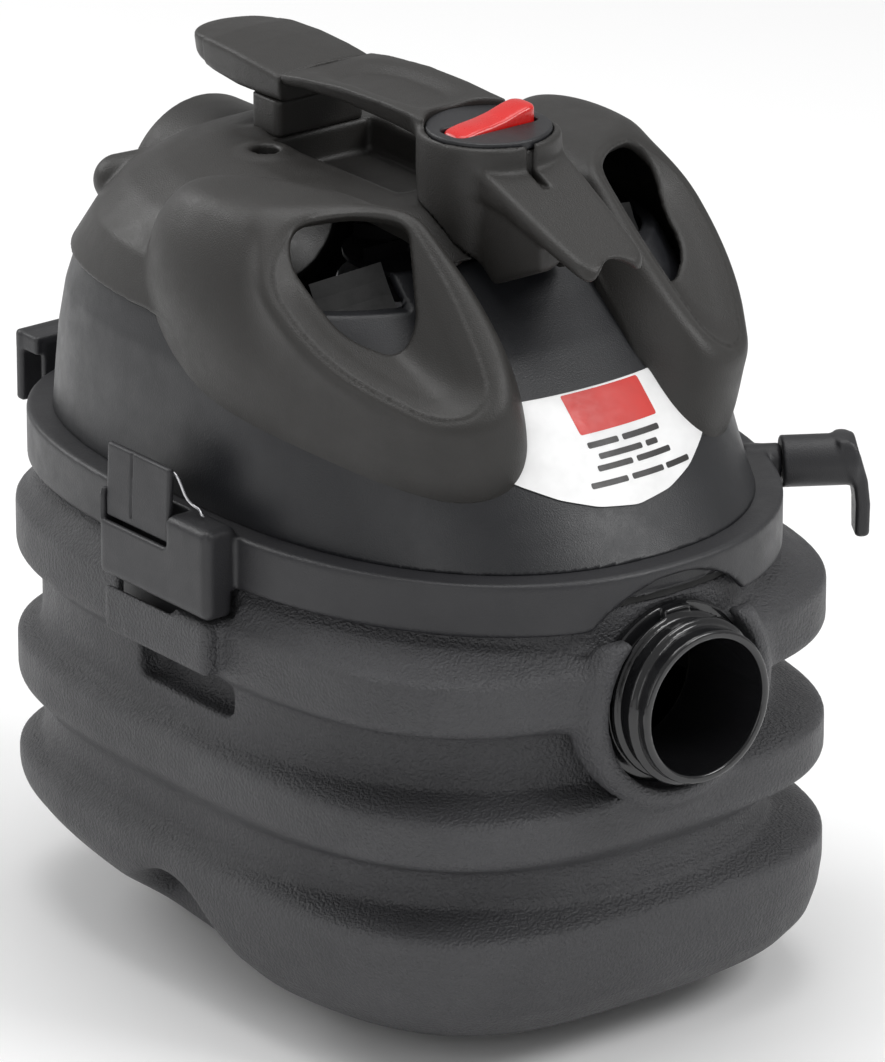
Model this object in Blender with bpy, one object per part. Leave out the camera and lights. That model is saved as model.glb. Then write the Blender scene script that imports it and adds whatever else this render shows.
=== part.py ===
"""Portable wet/dry shop vacuum, built as the separate pieces it comes apart into.

Metres, +Z up.  The origin is the middle of the tank's flat underside; the hose inlet faces -Y.
"""
import math

import bpy
import bmesh
from mathutils import Matrix, Vector

MM = 0.001
GAP = 0.3 * MM               # clearance between pieces that touch
SEGMENTS = 36                # points round each large plan outline

# ---- plan outlines: half width, reach to the front, reach to the rear, squareness in front, behind
RIB_PLAN = (142.5 * MM, 179.5 * MM, 197 * MM, 3.4, 3.4)
GROOVE_PLAN = (134 * MM, 168 * MM, 186 * MM, 2.4, 2.8)
BAND_PLAN = (137 * MM, 181.5 * MM, 203 * MM, 2.25, 3.0)
WALL_PLAN = (125 * MM, 170 * MM, 193 * MM, 2.25, 3.0)

# ---- tank
TANK_WALL = 4.5 * MM
RIM_TOP = 220 * MM
NECK_INSET = 6 * MM          # the neck stands this far inside the lid band
# height, how far the wall swells from the groove outline (0) to the rib outline (1), extra inset
TANK_PROFILE = (
    (0, 1, 32), (5, 1, 19), (16, 1, 8), (30, 1, 2), (44, 1, 0), (66, 1, 0), (76, 0.7, 0), (82, 0, 0),
    (104, 0, 0), (107, 0.95, 0), (130, 1, 0), (138, 0.75, 0), (146, 0, 0), (168, 0, 0), (172, 0.95, 0),
    (194, 1, 0), (201, 0.75, 0),
)
CAVITY_PROFILE = (
    (5, 1, 34), (11, 1, 22), (22, 1, 11), (40, 1, 1), (62, 1, 0), (75, 0, 0), (111, 0, 0), (114, 0.9, 0),
    (128, 0.9, 0), (139, 0, 0), (176, 0, 0), (179, 0.9, 0), (192, 0.9, 0),
)
GRIP_CENTRE = (38 * MM, 8 * MM)      # finger recess low on each side: Y and Z
GRIP_RADII = (37 * MM, 34 * MM)
GRIP_BACK = 112 * MM

# ---- hose inlet
INLET_Z = 175 * MM
BOSS_RADIUS, BOSS_FACE = 52 * MM, -188 * MM
RECESS_RADIUS, RECESS_FLOOR = 43.2 * MM, -174 * MM
BORE_RADIUS = 31.75 * MM             # a standard 2 1/2 inch hose end
COLLAR_FACE, COLLAR_TAIL = -203 * MM, -150 * MM
COLLAR_RADIUS = 35.5 * MM

# ---- lid ring
BAND_LOW, BAND_TOP = 212 * MM, 237 * MM
LEDGE_INSET = 25 * MM
SEAL_LOW, SEAL_TOP = 220.3 * MM, 224.7 * MM
ARCH_RADIUS = 54.5 * MM

# ---- latches, one on each side
LATCH_Y = (-5 * MM, 42 * MM)         # the lever's two edges
POCKET_Y = (-36 * MM, 46 * MM)
POCKET_OUT, POCKET_SKIN = 152 * MM, 3 * MM
POCKET_LOW, POCKET_TOP = 199 * MM, 242 * MM
PIN_X, PIN_Z, PIN_RADIUS = 143 * MM, 231 * MM, 1.5 * MM
CATCH_TOP = 197.5 * MM

# ---- head
SHELL = 4 * MM
HOUSING_PROFILE = ((237.3, 125, 169, 193), (256, 125, 153, 190), (278, 125, 137, 186), (300, 124, 119, 180))
COVER_PROFILE = ((300.4, 127, 118, 182), (318, 125, 96, 175), (340, 117, 71, 160), (355, 101, 60, 149),
                 (365, 80, 50, 132), (370, 56, 42, 112))
# pod sections from back to front: Y, middle X, middle Z, half width, half height
POD_SECTIONS = (
    (48, 84, 322, 26, 30), (36, 85, 324, 36, 42), (10, 86, 326, 41, 52), (-20, 85, 325, 42, 57),
    (-50, 83, 318, 42, 59), (-80, 79, 307, 41, 52), (-105, 74, 296, 36, 42), (-125, 69, 288, 27, 31),
    (-136, 66, 285, 17, 22), (-140, 65, 284, 8, 12),
)
SCOOP_CENTRE = Vector((-88, -72, 344)) * MM
SCOOP_NORMAL = Vector((-0.405, -0.585, 0.703))
SCOOP_SLOPE = Vector((-0.13, -0.725, -0.676))
GRIP_FLOOR = 355 * MM
PORT_Y, PORT_Z, PORT_RADIUS = 167 * MM, 320 * MM, 43 * MM

# ---- handle
PILLAR_Y = (77 * MM, 99 * MM)
BAR_HALF = 25 * MM
COLUMN_Y, COLUMN_TOP = -46 * MM, 404 * MM
BEZEL_RADIUS = 28.5 * MM
ROCKER_LENGTH, ROCKER_WIDTH = 44 * MM, 16 * MM

# ---- works inside
AXIS_CAN = 48 * MM
EYE_RADIUS = 16 * MM
SHAFT_RADIUS = 4 * MM
CAGE_RADIUS = 55 * MM
FLOAT_RADIUS, FLOAT_Z = 24 * MM, 150 * MM

# ---- cord hooks
POST_START = Vector((119, -89.6, 230)) * MM
POST_DIRECTION = Vector((0.85, -0.53, 0)).normalized()
SLEEVE_START, SLEEVE_END = 13 * MM, 44.5 * MM

COLOURS = {
    "tank_plastic": ((0.035, 0.035, 0.037), 0.62), "lid_plastic": ((0.030, 0.030, 0.032), 0.42),
    "cover_plastic": ((0.034, 0.033, 0.032), 0.45), "panel_plastic": ((0.016, 0.016, 0.017), 0.35),
    "gloss_plastic": ((0.008, 0.008, 0.009), 0.15), "red_plastic": ((0.60, 0.02, 0.015), 0.35),
    "label": ((0.85, 0.85, 0.85), 0.4), "steel": ((0.55, 0.55, 0.56), 0.3),
    "rubber": ((0.02, 0.02, 0.02), 0.8), "inner_plastic": ((0.05, 0.05, 0.055), 0.5),
    "filter_paper": ((0.75, 0.70, 0.58), 0.9),
}


def clear_scene():
    for item in list(bpy.data.objects):
        bpy.data.objects.remove(item)


def material(name):
    made = bpy.data.materials.get(name)
    if made:
        return made
    colour, rough = COLOURS[name]
    made = bpy.data.materials.new(name)
    made.use_nodes = True
    shader = made.node_tree.nodes["Principled BSDF"]
    shader.inputs["Base Color"].default_value = (*colour, 1)
    shader.inputs["Roughness"].default_value = rough
    shader.inputs["Metallic"].default_value = 1.0 if name == "steel" else 0.0
    return made


def add_object(name, mesh, material_name):
    item = bpy.data.objects.new(name, mesh)
    bpy.context.scene.collection.objects.link(item)
    if material_name:
        mesh.materials.clear()
        mesh.materials.append(material(material_name))
    return item


def power(value, exponent):
    return math.copysign(abs(value) ** exponent, value)


def inset_plan(plan, inset):
    half, front, rear, blunt_front, blunt_rear = plan
    return (half - inset, front - inset, rear - inset, blunt_front, blunt_rear)


def plan_points(plan, z, count=SEGMENTS):
    """Points of a closed egg-shaped outline, anticlockwise from above."""
    half, front, rear, blunt_front, blunt_rear = plan
    points = []
    for step in range(count):
        angle = 2 * math.pi * step / count
        blunt = blunt_rear if math.sin(angle) > 0 else blunt_front
        reach = rear if math.sin(angle) > 0 else front
        x = half * power(math.cos(angle), 2 / blunt)
        y = reach * power(math.sin(angle), 2 / blunt)
        points.append(Vector((x, y, z)))
    return points


def circle_points(centre, radius, direction, count):
    """Points of a circle round a direction."""
    turn = direction.to_track_quat("Z", "Y")
    points = []
    for step in range(count):
        angle = 2 * math.pi * step / count
        spot = Vector((radius * math.cos(angle), radius * math.sin(angle), 0))
        points.append(centre + turn @ spot)
    return points


def loft(name, rings, material_name=None, hollow=False):
    """Skin a row of rings; the ends are capped, or joined to each other when hollow."""
    mesh = bpy.data.meshes.new(name)
    work = bmesh.new()
    rows = [[work.verts.new(point) for point in ring] for ring in rings]
    pairs = list(zip(rows, rows[1:]))
    if hollow:
        pairs.append((rows[-1], rows[0]))
    for low, high in pairs:
        for here in range(len(low)):
            after = (here + 1) % len(low)
            work.faces.new((low[here], low[after], high[after], high[here]))
    if not hollow:
        work.faces.new(rows[0])
        work.faces.new(rows[-1])
    bmesh.ops.recalc_face_normals(work, faces=work.faces)
    work.to_mesh(mesh)
    work.free()
    mesh.shade_smooth()
    mesh.set_sharp_from_angle(angle=math.radians(35))
    return add_object(name, mesh, material_name)


def turned(name, profile, centre, direction, material_name=None, count=32, hollow=True):
    """A turned piece: profile is (radius, distance along the direction)."""
    rings = [circle_points(centre + direction * along, radius, direction, count)
             for radius, along in profile]
    return loft(name, rings, material_name, hollow)


def block(name, low, high, material_name=None, bevel=0.0):
    """A box between two corners, with its edges rounded off if bevel is set."""
    low, high = Vector(low), Vector(high)
    mesh = bpy.data.meshes.new(name)
    work = bmesh.new()
    bmesh.ops.create_cube(work, size=1.0)
    size = high - low
    bmesh.ops.transform(work, verts=work.verts, matrix=Matrix.Diagonal((*size, 1)))
    bmesh.ops.translate(work, verts=work.verts, vec=(low + high) / 2)
    if bevel:
        bmesh.ops.bevel(work, geom=work.edges[:], offset=bevel, segments=2, profile=0.6, affect="EDGES")
    bmesh.ops.recalc_face_normals(work, faces=work.faces)
    work.to_mesh(mesh)
    work.free()
    return add_object(name, mesh, material_name)


def ball(name, centre, radii, axes, material_name=None, segments=20, rings=12):
    """An ellipsoid whose three radii lie along the three given axes."""
    mesh = bpy.data.meshes.new(name)
    work = bmesh.new()
    bmesh.ops.create_uvsphere(work, u_segments=segments, v_segments=rings, radius=1.0)
    turn = Matrix((axes[0] * radii[0], axes[1] * radii[1], axes[2] * radii[2])).transposed().to_4x4()
    bmesh.ops.transform(work, verts=work.verts, matrix=Matrix.Translation(centre) @ turn)
    bmesh.ops.recalc_face_normals(work, faces=work.faces)
    work.to_mesh(mesh)
    work.free()
    mesh.shade_smooth()
    return add_object(name, mesh, material_name)


def combine(target, operation, *tools):
    """Cut, join or intersect the target with each tool, and remove the tools."""
    for tool in tools:
        step = target.modifiers.new(operation.title(), "BOOLEAN")
        step.operation = operation
        step.object = tool
        bpy.context.view_layer.update()
        graph = bpy.context.evaluated_depsgraph_get()
        mesh = bpy.data.meshes.new_from_object(target.evaluated_get(graph))
        target.modifiers.clear()
        target.data = mesh
        bpy.data.objects.remove(tool)
    return target


def cut(target, *tools):
    return combine(target, "DIFFERENCE", *tools)


def join(target, *tools):
    return combine(target, "UNION", *tools)


def mirrored(item, name):
    """A copy of an object on the other side of the X = 0 plane."""
    mesh = item.data.copy()
    mesh.transform(Matrix.Scale(-1, 4, Vector((1, 0, 0))))
    mesh.flip_normals()
    return add_object(name, mesh, None)


def right_copy(item):
    return mirrored(item, item.name + "_right")


X, Y, Z = Vector((1, 0, 0)), Vector((0, 1, 0)), Vector((0, 0, 1))


# ---------------------------------------------------------------- tank

def swollen_plan(swell, inset):
    """An outline between the groove outline and the squarer rib outline."""
    sizes = [low + (high - low) * swell for low, high in zip(GROOVE_PLAN, RIB_PLAN)]
    return inset_plan(sizes, inset)


def tank_shell():
    rings = [plan_points(swollen_plan(swell, inset * MM), z * MM) for z, swell, inset in TANK_PROFILE]
    neck = inset_plan(BAND_PLAN, NECK_INSET)
    rings.append(plan_points(neck, 208 * MM))
    rings.append(plan_points(neck, RIM_TOP))
    mouth = inset_plan(neck, TANK_WALL)
    rings.append(plan_points(mouth, RIM_TOP))
    rings.append(plan_points(mouth, 204 * MM))
    for z, swell, inset in reversed(CAVITY_PROFILE):
        rings.append(plan_points(swollen_plan(swell, inset * MM + TANK_WALL), z * MM))
    return loft("tank", rings, "tank_plastic")


def tank_boss():
    """Round pad for the hose inlet, kept clear of the lid band's path."""
    centre = Vector((0, 0, INLET_Z))
    boss = turned("boss", ((BOSS_RADIUS + 3 * MM, 160 * MM), (BOSS_RADIUS + 1 * MM, -BOSS_FACE - 4 * MM),
                           (BOSS_RADIUS - 4 * MM, -BOSS_FACE)), centre, -Y, count=32, hollow=False)
    keep_out = inset_plan(BAND_PLAN, NECK_INSET - 2.5 * MM)
    above = loft("above", [plan_points(keep_out, z) for z in (207 * MM, 260 * MM)])
    return cut(boss, above)


def latch_catch(side):
    """Thickened rib under a latch, with a slot that the latch hook drops into."""
    return block("catch", (side * 151.5 * MM, POCKET_Y[0] + 2 * MM, 172 * MM),
                 (side * 128 * MM, POCKET_Y[1] - 2 * MM, CATCH_TOP), bevel=3 * MM)


def latch_slot(side):
    low, high = LATCH_Y[0] - 2 * MM, LATCH_Y[1] + 2 * MM
    return block("slot", (side * 148.6 * MM, low, 181 * MM), (side * 138 * MM, high, CATCH_TOP + 15 * MM))


def latch_room(side):
    """Space in the top rib for the latch pocket of the lid."""
    return block("room", (side * 160 * MM, POCKET_Y[0] - 0.7 * MM, POCKET_LOW - 0.8 * MM),
                 (side * 132 * MM, POCKET_Y[1] + 0.7 * MM, 218 * MM))


def latch_hollow(side):
    """Dark pocket below each catch."""
    return block("hollow", (side * 160 * MM, POCKET_Y[0] + 2 * MM, 150 * MM),
                 (side * 131.5 * MM, POCKET_Y[1] - 10 * MM, 169 * MM))


def finger_recess(side):
    centre = Vector((side * GRIP_BACK, *GRIP_CENTRE))
    stretch = GRIP_RADII[1] / GRIP_RADII[0]
    rings = []
    for radius, out in ((GRIP_RADII[0] - 6 * MM, 0), (GRIP_RADII[0], 7 * MM), (GRIP_RADII[0] + 5 * MM, 60 * MM)):
        ring = []
        for step in range(24):
            angle = 2 * math.pi * step / 24
            ring.append(centre + X * side * out
                        + Y * radius * math.cos(angle) + Z * radius * stretch * math.sin(angle))
        rings.append(ring)
    return loft("recess", rings)


def make_tank():
    tank = tank_shell()
    inlet = Vector((0, 0, INLET_Z))
    join(tank, tank_boss(), latch_catch(-1), latch_catch(1))
    cut(tank,
        turned("ring", ((RECESS_RADIUS, -RECESS_FLOOR), (RECESS_RADIUS, 230 * MM)), inlet, -Y, count=28,
               hollow=False),
        turned("hole", ((COLLAR_RADIUS + 2 * GAP, 140 * MM), (COLLAR_RADIUS + 2 * GAP, 230 * MM)), inlet, -Y,
               count=36, hollow=False))
    for side in (-1, 1):
        cut(tank, latch_room(side), latch_slot(side), latch_hollow(side), finger_recess(side))


def make_inlet():
    centre = Vector((0, 0, INLET_Z))
    profile = [(BORE_RADIUS, -COLLAR_FACE), (BORE_RADIUS, -COLLAR_TAIL), (COLLAR_RADIUS, -COLLAR_TAIL),
               (COLLAR_RADIUS, -RECESS_FLOOR + GAP), (RECESS_RADIUS - 2 * GAP, -RECESS_FLOOR + GAP),
               (RECESS_RADIUS - 2 * GAP, -RECESS_FLOOR + 3 * MM), (COLLAR_RADIUS, -RECESS_FLOOR + 3 * MM)]
    for thread in range(3):
        start = -RECESS_FLOOR + 8 * MM + thread * 6 * MM
        profile += [(COLLAR_RADIUS, start), (COLLAR_RADIUS + 2.5 * MM, start + 1.5 * MM),
                    (COLLAR_RADIUS + 2.5 * MM, start + 2.5 * MM), (COLLAR_RADIUS, start + 4 * MM)]
    profile.append((COLLAR_RADIUS - 1 * MM, -COLLAR_FACE))
    turned("inlet_collar", profile, centre, -Y, "gloss_plastic", count=28)
    inner, outer = COLLAR_RADIUS + 2 * GAP, COLLAR_RADIUS + 5 * MM
    turned("inlet_nut", ((inner, 151.8 * MM), (inner, 157.5 * MM), (outer, 157.5 * MM), (outer, 151.8 * MM)),
           centre, -Y, "inner_plastic", count=24)
    hood = turned("inlet_deflector", ((41 * MM, 106 * MM), (41 * MM, 151.4 * MM)), centre, -Y,
                  "inner_plastic", count=24, hollow=False)
    hood = cut(hood, turned("bore", ((37.5 * MM, 109 * MM), (37.5 * MM, 160 * MM)), centre, -Y, count=24,
                            hollow=False))
    cut(hood, block("mouth", (-60 * MM, -146 * MM, 100 * MM), (60 * MM, -100 * MM, 166 * MM)))


# ---------------------------------------------------------------- lid ring and latches

def make_lid_ring():
    neck_room = inset_plan(BAND_PLAN, NECK_INSET - 1.8 * MM)
    ledge = inset_plan(BAND_PLAN, LEDGE_INSET)
    rings = [plan_points(BAND_PLAN, BAND_LOW), plan_points(BAND_PLAN, BAND_TOP - 3 * MM),
             plan_points(inset_plan(BAND_PLAN, 2.5 * MM), BAND_TOP),
             plan_points(ledge, BAND_TOP), plan_points(ledge, 225 * MM),
             plan_points(neck_room, 225 * MM), plan_points(neck_room, BAND_LOW)]
    lid = loft("lid_ring", rings, "lid_plastic", hollow=True)
    arch = turned("arch", ((ARCH_RADIUS, 100 * MM), (ARCH_RADIUS, 230 * MM)), Vector((0, 0, INLET_Z)), -Y,
                  count=32, hollow=False)
    inside = inset_plan(BAND_PLAN, NECK_INSET - 1.5 * MM)
    cut(lid, cut(arch, loft("inside", [plan_points(inside, z) for z in (90 * MM, 260 * MM)])))
    for side in (-1, 1):
        join(lid, latch_pocket(side))
    join(lid, hook_boss())


def latch_pocket(side):
    """Bulged pocket on the lid band that the latch lever swings in."""
    pocket = block("pocket", (side * POCKET_OUT, POCKET_Y[0], POCKET_LOW),
                   (side * 133.5 * MM, POCKET_Y[1], POCKET_TOP), bevel=2 * MM)
    low, high = LATCH_Y[0] - 0.8 * MM, LATCH_Y[1] + 0.8 * MM
    skin = POCKET_OUT - POCKET_SKIN
    cut(pocket,
        block("slot", (side * skin, low, POCKET_LOW - 5 * MM), (side * 137.5 * MM, high, 260 * MM)),
        block("notch", (side * 160 * MM, low, 226.5 * MM), (side * 140 * MM, high, 260 * MM)),
        block("inner", (side * 137.5 * MM, POCKET_Y[0] - 5 * MM, 190 * MM),
              (side * 120 * MM, POCKET_Y[1] + 5 * MM, BAND_LOW - 0.02 * MM)),
        turned("pin_hole", ((PIN_RADIUS + GAP, POCKET_Y[0] + 20 * MM), (PIN_RADIUS + GAP, POCKET_Y[1] + 5 * MM)),
               Vector((side * PIN_X, 0, PIN_Z)), Y, count=16, hollow=False))
    return pocket


def make_latch(side, label):
    low, high = LATCH_Y
    section = ((150, 228), (150, 261.5), (149, 263), (147.5, 263), (146.5, 261.5), (146.5, 236), (138.8, 236),
               (138.8, 184), (142.3, 184), (142.3, 228))
    lever = loft("latch_" + label, [[Vector((side * x * MM, y, z * MM)) for x, z in section]
                                    for y in (low, high)], "lid_plastic")
    cut(lever, turned("hole", ((PIN_RADIUS + GAP, low - 5 * MM), (PIN_RADIUS + GAP, high + 5 * MM)),
                      Vector((side * PIN_X, 0, PIN_Z)), Y, count=16, hollow=False))
    turned("latch_pin_" + label, ((PIN_RADIUS, POCKET_Y[0] + 21 * MM), (PIN_RADIUS, POCKET_Y[1] - 0.5 * MM)),
           Vector((side * PIN_X, 0, PIN_Z)), Y, "steel", count=16, hollow=False)
    wire("latch_spring_" + label,
         [(side * x * MM, y * MM, z * MM) for x, y, z in
          ((145.2, -2, 261), (144.8, -7.5, 258), (142, -9, 249), (140, -13, 244.2), (139, -20, 243.6))],
         0.9 * MM, "steel")


def wire(name, points, radius, material_name, sides=8):
    """A bent round wire through the given points."""
    points = [Vector(point) for point in points]
    rings = []
    for index, point in enumerate(points):
        before = points[max(index - 1, 0)]
        after = points[min(index + 1, len(points) - 1)]
        rings.append(circle_points(point, radius, (after - before).normalized(), sides))
    return loft(name, rings, material_name)


# ---------------------------------------------------------------- cord hooks

def hook_boss():
    """Post that carries the swivelling cord hook."""
    return turned("post", ((8.5 * MM, 0), (8.5 * MM, SLEEVE_START - GAP), (5 * MM, SLEEVE_START - GAP),
                           (5 * MM, SLEEVE_END - 6 * MM)), POST_START, POST_DIRECTION, count=20, hollow=False)


def make_cord_hook():
    """Sleeve on the post with a blade that hangs down at its outer end."""
    sleeve = turned("cord_hook", ((12 * MM, SLEEVE_START), (12 * MM, SLEEVE_END + 4 * MM)),
                    POST_START, POST_DIRECTION, "lid_plastic", count=24, hollow=False)
    across = Z.cross(POST_DIRECTION)
    rings = []
    for drop, half, reach in ((-12, 9, 0), (-8, 12, 0), (0, 12.5, 1), (14, 11, 4), (26, 8.5, 6.5), (37, 6, 7.5)):
        middle = POST_START + POST_DIRECTION * (SLEEVE_END + reach * MM) - Z * drop * MM
        thick = 7 * MM
        rings.append([middle + across * x * half * MM + POST_DIRECTION * y * thick
                      for x, y in ((-1, 0.25), (-0.6, 0), (0.6, 0), (1, 0.25), (1, 0.75), (0.6, 1), (-0.6, 1),
                                   (-1, 0.75))])
    join(sleeve, loft("blade", rings))
    cut(sleeve, turned("bore", ((5.4 * MM, SLEEVE_START - 5 * MM), (5.4 * MM, SLEEVE_END - 5.5 * MM)),
                       POST_START, POST_DIRECTION, count=20, hollow=False))


def make_rear_hook():
    """Fixed hook plate behind the lid band."""
    arm = block("rear_hook", (-72 * MM, 203.5 * MM, 240 * MM), (-40 * MM, 221 * MM, 249 * MM), "lid_plastic",
                bevel=1.5 * MM)
    join(arm, block("foot", (-68 * MM, 203.4 * MM, 222 * MM), (-44 * MM, 207 * MM, 243 * MM), bevel=0.8 * MM),
         block("plate", (-72 * MM, 216 * MM, 214 * MM), (-40 * MM, 222 * MM, 248.5 * MM), bevel=1.5 * MM))


# ---------------------------------------------------------------- motor head

def head_rings(profile, inset=0.0, shift=0.0):
    rings = []
    for z, half, front, rear in profile:
        plan = inset_plan((half * MM, front * MM, rear * MM, 2.25, 3.0), inset)
        rings.append(plan_points(plan, z * MM + shift))
    return rings


def port_room():
    """Space round the blower port, flared out behind so that the port stands free."""
    return turned("port_room", ((PORT_RADIUS + 1 * MM, 120 * MM), (PORT_RADIUS + 1 * MM, 146 * MM),
                                (PORT_RADIUS + 9 * MM, 150 * MM), (PORT_RADIUS + 9 * MM, 230 * MM)),
                  Vector((0, 0, PORT_Z)), Y, count=32, hollow=False)


def make_housing():
    inner = list(reversed(head_rings(HOUSING_PROFILE, SHELL)))
    housing = loft("head_housing", head_rings(HOUSING_PROFILE) + inner, "cover_plastic", hollow=True)
    cut(housing, port_room())


def pod(inset=0.0, count=22):
    """Left air-scoop pod as a row of rounded sections from back to front."""
    rings = []
    for y, x_mid, z_mid, half, tall in POD_SECTIONS:
        ring = []
        for step in range(count):
            angle = 2 * math.pi * step / count
            width = max(half * MM - inset, 1 * MM)
            height = max(tall * MM - inset, 1 * MM)
            ring.append(Vector((-x_mid * MM + width * power(math.cos(angle), 0.8), y * MM,
                                z_mid * MM + height * power(math.sin(angle), 0.8))))
        rings.append(ring)
    if inset:
        rings[0] = [point - Y * inset for point in rings[0]]
        rings[-1] = [point + Y * inset for point in rings[-1]]
    return loft("pod", rings)


def housing_block(gap):
    rings = head_rings(((200, 125, 190, 193),) + HOUSING_PROFILE, -gap)
    return loft("housing_block", rings)


def screw_ear():
    """Raised ear round a cover screw."""
    return turned("ear", ((13 * MM, -20 * MM), (12 * MM, -2 * MM), (9.5 * MM, 0)),
                  Vector((-40, 67, 371)) * MM, Z, count=20, hollow=False)


def make_top_cover():
    cover = loft("top_cover", head_rings(COVER_PROFILE), "cover_plastic")
    pod_left, ear_left = pod(), screw_ear()
    join(cover, right_copy(pod_left), pod_left, right_copy(ear_left), ear_left)
    inside = loft("inside", head_rings(((290, 127, 118, 182),) + COVER_PROFILE[:-1], SHELL, -SHELL))
    inner_pod = pod(SHELL)
    join(inside, right_copy(inner_pod), inner_pod)
    cut(cover, inside, housing_block(0.5 * MM))
    cut(cover, block("channel", (-27 * MM, -16 * MM, GRIP_FLOOR), (27 * MM, 77 * MM, 400 * MM)))
    cut(cover, port_room())
    side_axis = SCOOP_NORMAL.cross(SCOOP_SLOPE).normalized()
    dish = ball("dish", SCOOP_CENTRE + SCOOP_NORMAL * 6 * MM, (50 * MM, 29 * MM, 20 * MM),
                (SCOOP_SLOPE.normalized(), side_axis, SCOOP_NORMAL.normalized()), segments=24, rings=12)
    mouth_spot = SCOOP_CENTRE - SCOOP_SLOPE * 14 * MM
    mouth = turned("mouth", ((19 * MM, -50 * MM), (19 * MM, 40 * MM)), mouth_spot, SCOOP_NORMAL, count=24,
                   hollow=False)
    cut(cover, right_copy(dish), dish, right_copy(mouth), mouth)
    screw_hole = turned("hole", ((6.3 * MM, -9 * MM), (6.3 * MM, 20 * MM)), Vector((-40, 67, 371)) * MM, Z,
                        count=16, hollow=False)
    cut(cover, right_copy(screw_hole), screw_hole)
    cut(cover, block("switch_room", (-22 * MM, COLUMN_Y - 12 * MM, 340 * MM),
                     (22 * MM, COLUMN_Y + 12 * MM, 380 * MM)))


def make_screws():
    for side, label in ((-1, "left"), (1, "right")):
        spot = Vector((side * 40 * MM, 67 * MM, 371 * MM))
        screw = turned("cover_screw_" + label, ((6 * MM, -8.6 * MM), (6 * MM, -4 * MM), (4.5 * MM, -2.5 * MM)),
                       spot, Z, "steel", count=16, hollow=False)
        cut(screw, block("slot", spot + Vector((-2.2, -2.2, -6)) * MM, spot + Vector((2.2, 2.2, 2)) * MM))


def front_reach(z):
    """How far forward the head's sloping front stands at a height."""
    rows = [(row[0], row[2]) for row in HOUSING_PROFILE] + [(331, 82)]
    for (low, reach), (high, next_reach) in zip(rows, rows[1:]):
        if low <= z <= high:
            return reach + (next_reach - reach) * (z - low) / (high - low)
    raise ValueError("height outside the front slope")


def front_sheet(name, rows, inner, outer, material_name, steps=8):
    """A sheet that follows the head's front between two distances from it."""
    rings = []
    for z, half in rows:
        ring = []
        for offset, turn in ((outer, 1), (inner, -1)):
            for step in range(steps + 1):
                x = half * (2 * step / steps - 1) * turn
                bow = (1 - (abs(x) / 125) ** 2.25) ** (1 / 2.25)
                ring.append(Vector((x, -front_reach(z) * bow - offset, z)) * MM)
        rings.append(ring)
    return loft(name, rings, material_name)


def head_room(gap):
    """Space taken by the housing and the two pods, with a gap round them."""
    room, left = housing_block(gap), pod(-gap)
    return join(room, right_copy(left), left)


def make_front_panel():
    """Stepped dark panel between the pods, with the label on its lower part."""
    panel = front_sheet("front_panel", ((257, 36), (265, 44), (278, 54), (289, 56), (300, 52), (331, 32)),
                        0.6, 4, "panel_plastic")
    cut(panel, head_room(0.4 * MM))
    label = front_sheet("nameplate", ((259, 15), (265, 29), (278, 45), (289, 50), (300, 42), (304, 40)),
                        4.7, 5.5, "label")
    cut(label, head_room(0.6 * MM))


# ---------------------------------------------------------------- handle and switch

def rounded_section(half, low, high, y, slant=0.0):
    """Ten-sided section across the handle bar, wider at the top by slant."""
    rows = ((0.55, 0), (1, 0.22), (1, 0.8), (0.8, 1), (0.3, 1))
    ring = []
    for side in (1, -1):
        for wide, tall in (rows if side > 0 else reversed(rows)):
            reach = half * wide - slant * (1 - tall)
            ring.append(Vector((side * reach, y, low + (high - low) * tall)))
    return ring


def column():
    """Bell-shaped front column under the switch plate."""
    rings = []
    for z, half, deep in ((331.5, 35, 24), (345, 33, 25), (365, 31, 27), (385, 31, 30), (399, 31.5, 31.5),
                          (404, 29.5, 29.5)):
        rings.append([Vector((half * MM * power(math.cos(a), 0.8), COLUMN_Y + deep * MM * power(math.sin(a), 0.8),
                              z * MM)) for a in (2 * math.pi * step / 32 for step in range(32))])
    return loft("handle", rings, "cover_plastic")


def beak():
    """Tongue that reaches forward from the column over the front panel."""
    rings = []
    for y, half, low, high in ((-55, 25, 366, 401), (-75, 24, 362, 396), (-100, 20.5, 357, 385),
                               (-122, 16, 354, 373), (-134, 11, 354.5, 365.5), (-138.5, 5, 357, 362.5)):
        rings.append(rounded_section(half * MM, low * MM, high * MM, y * MM, 3 * MM))
    return loft("beak", rings)


def make_handle():
    handle = column()
    bar = loft("bar", [rounded_section(half * MM, low * MM, high * MM, y * MM, 6 * MM) for y, half, low, high in
                       ((-44, 22, 388, 402.5), (-26, 24, 389, 408.5), (10, 25, 389, 409), (45, 26, 386, 407),
                        (74, 27, 382, 403), (99, 27, 378, 394))])
    pillar = block("pillar", (-BAR_HALF, PILLAR_Y[0], 340 * MM), (BAR_HALF, PILLAR_Y[1], 390 * MM), bevel=4 * MM)
    join(handle, bar, pillar, beak())
    channel = ball("channel", Vector((0, 26, 414)) * MM, (17 * MM, 52 * MM, 10 * MM), (X, Y, Z), segments=24)
    seat = turned("seat", ((BEZEL_RADIUS + GAP, 0), (BEZEL_RADIUS + GAP, 30 * MM)),
                  Vector((0, COLUMN_Y, COLUMN_TOP - 3.5 * MM)), Z, count=32, hollow=False)
    well = block("well", (-25 * MM, COLUMN_Y - 12 * MM, 352 * MM), (25 * MM, COLUMN_Y + 12 * MM, 410 * MM))
    cut(handle, channel, seat, well, cover_block(), cap_room())


def cover_block():
    """Room for the top cover under the handle."""
    rings = head_rings(((300, 127, 118, 182),) + COVER_PROFILE[1:], -2 * GAP, GAP)
    return loft("cover_block", rings)


def cap_room():
    return block("cap_room", (-40 * MM, 74 * MM, 390.3 * MM), (40 * MM, 130 * MM, 420 * MM))


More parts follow.
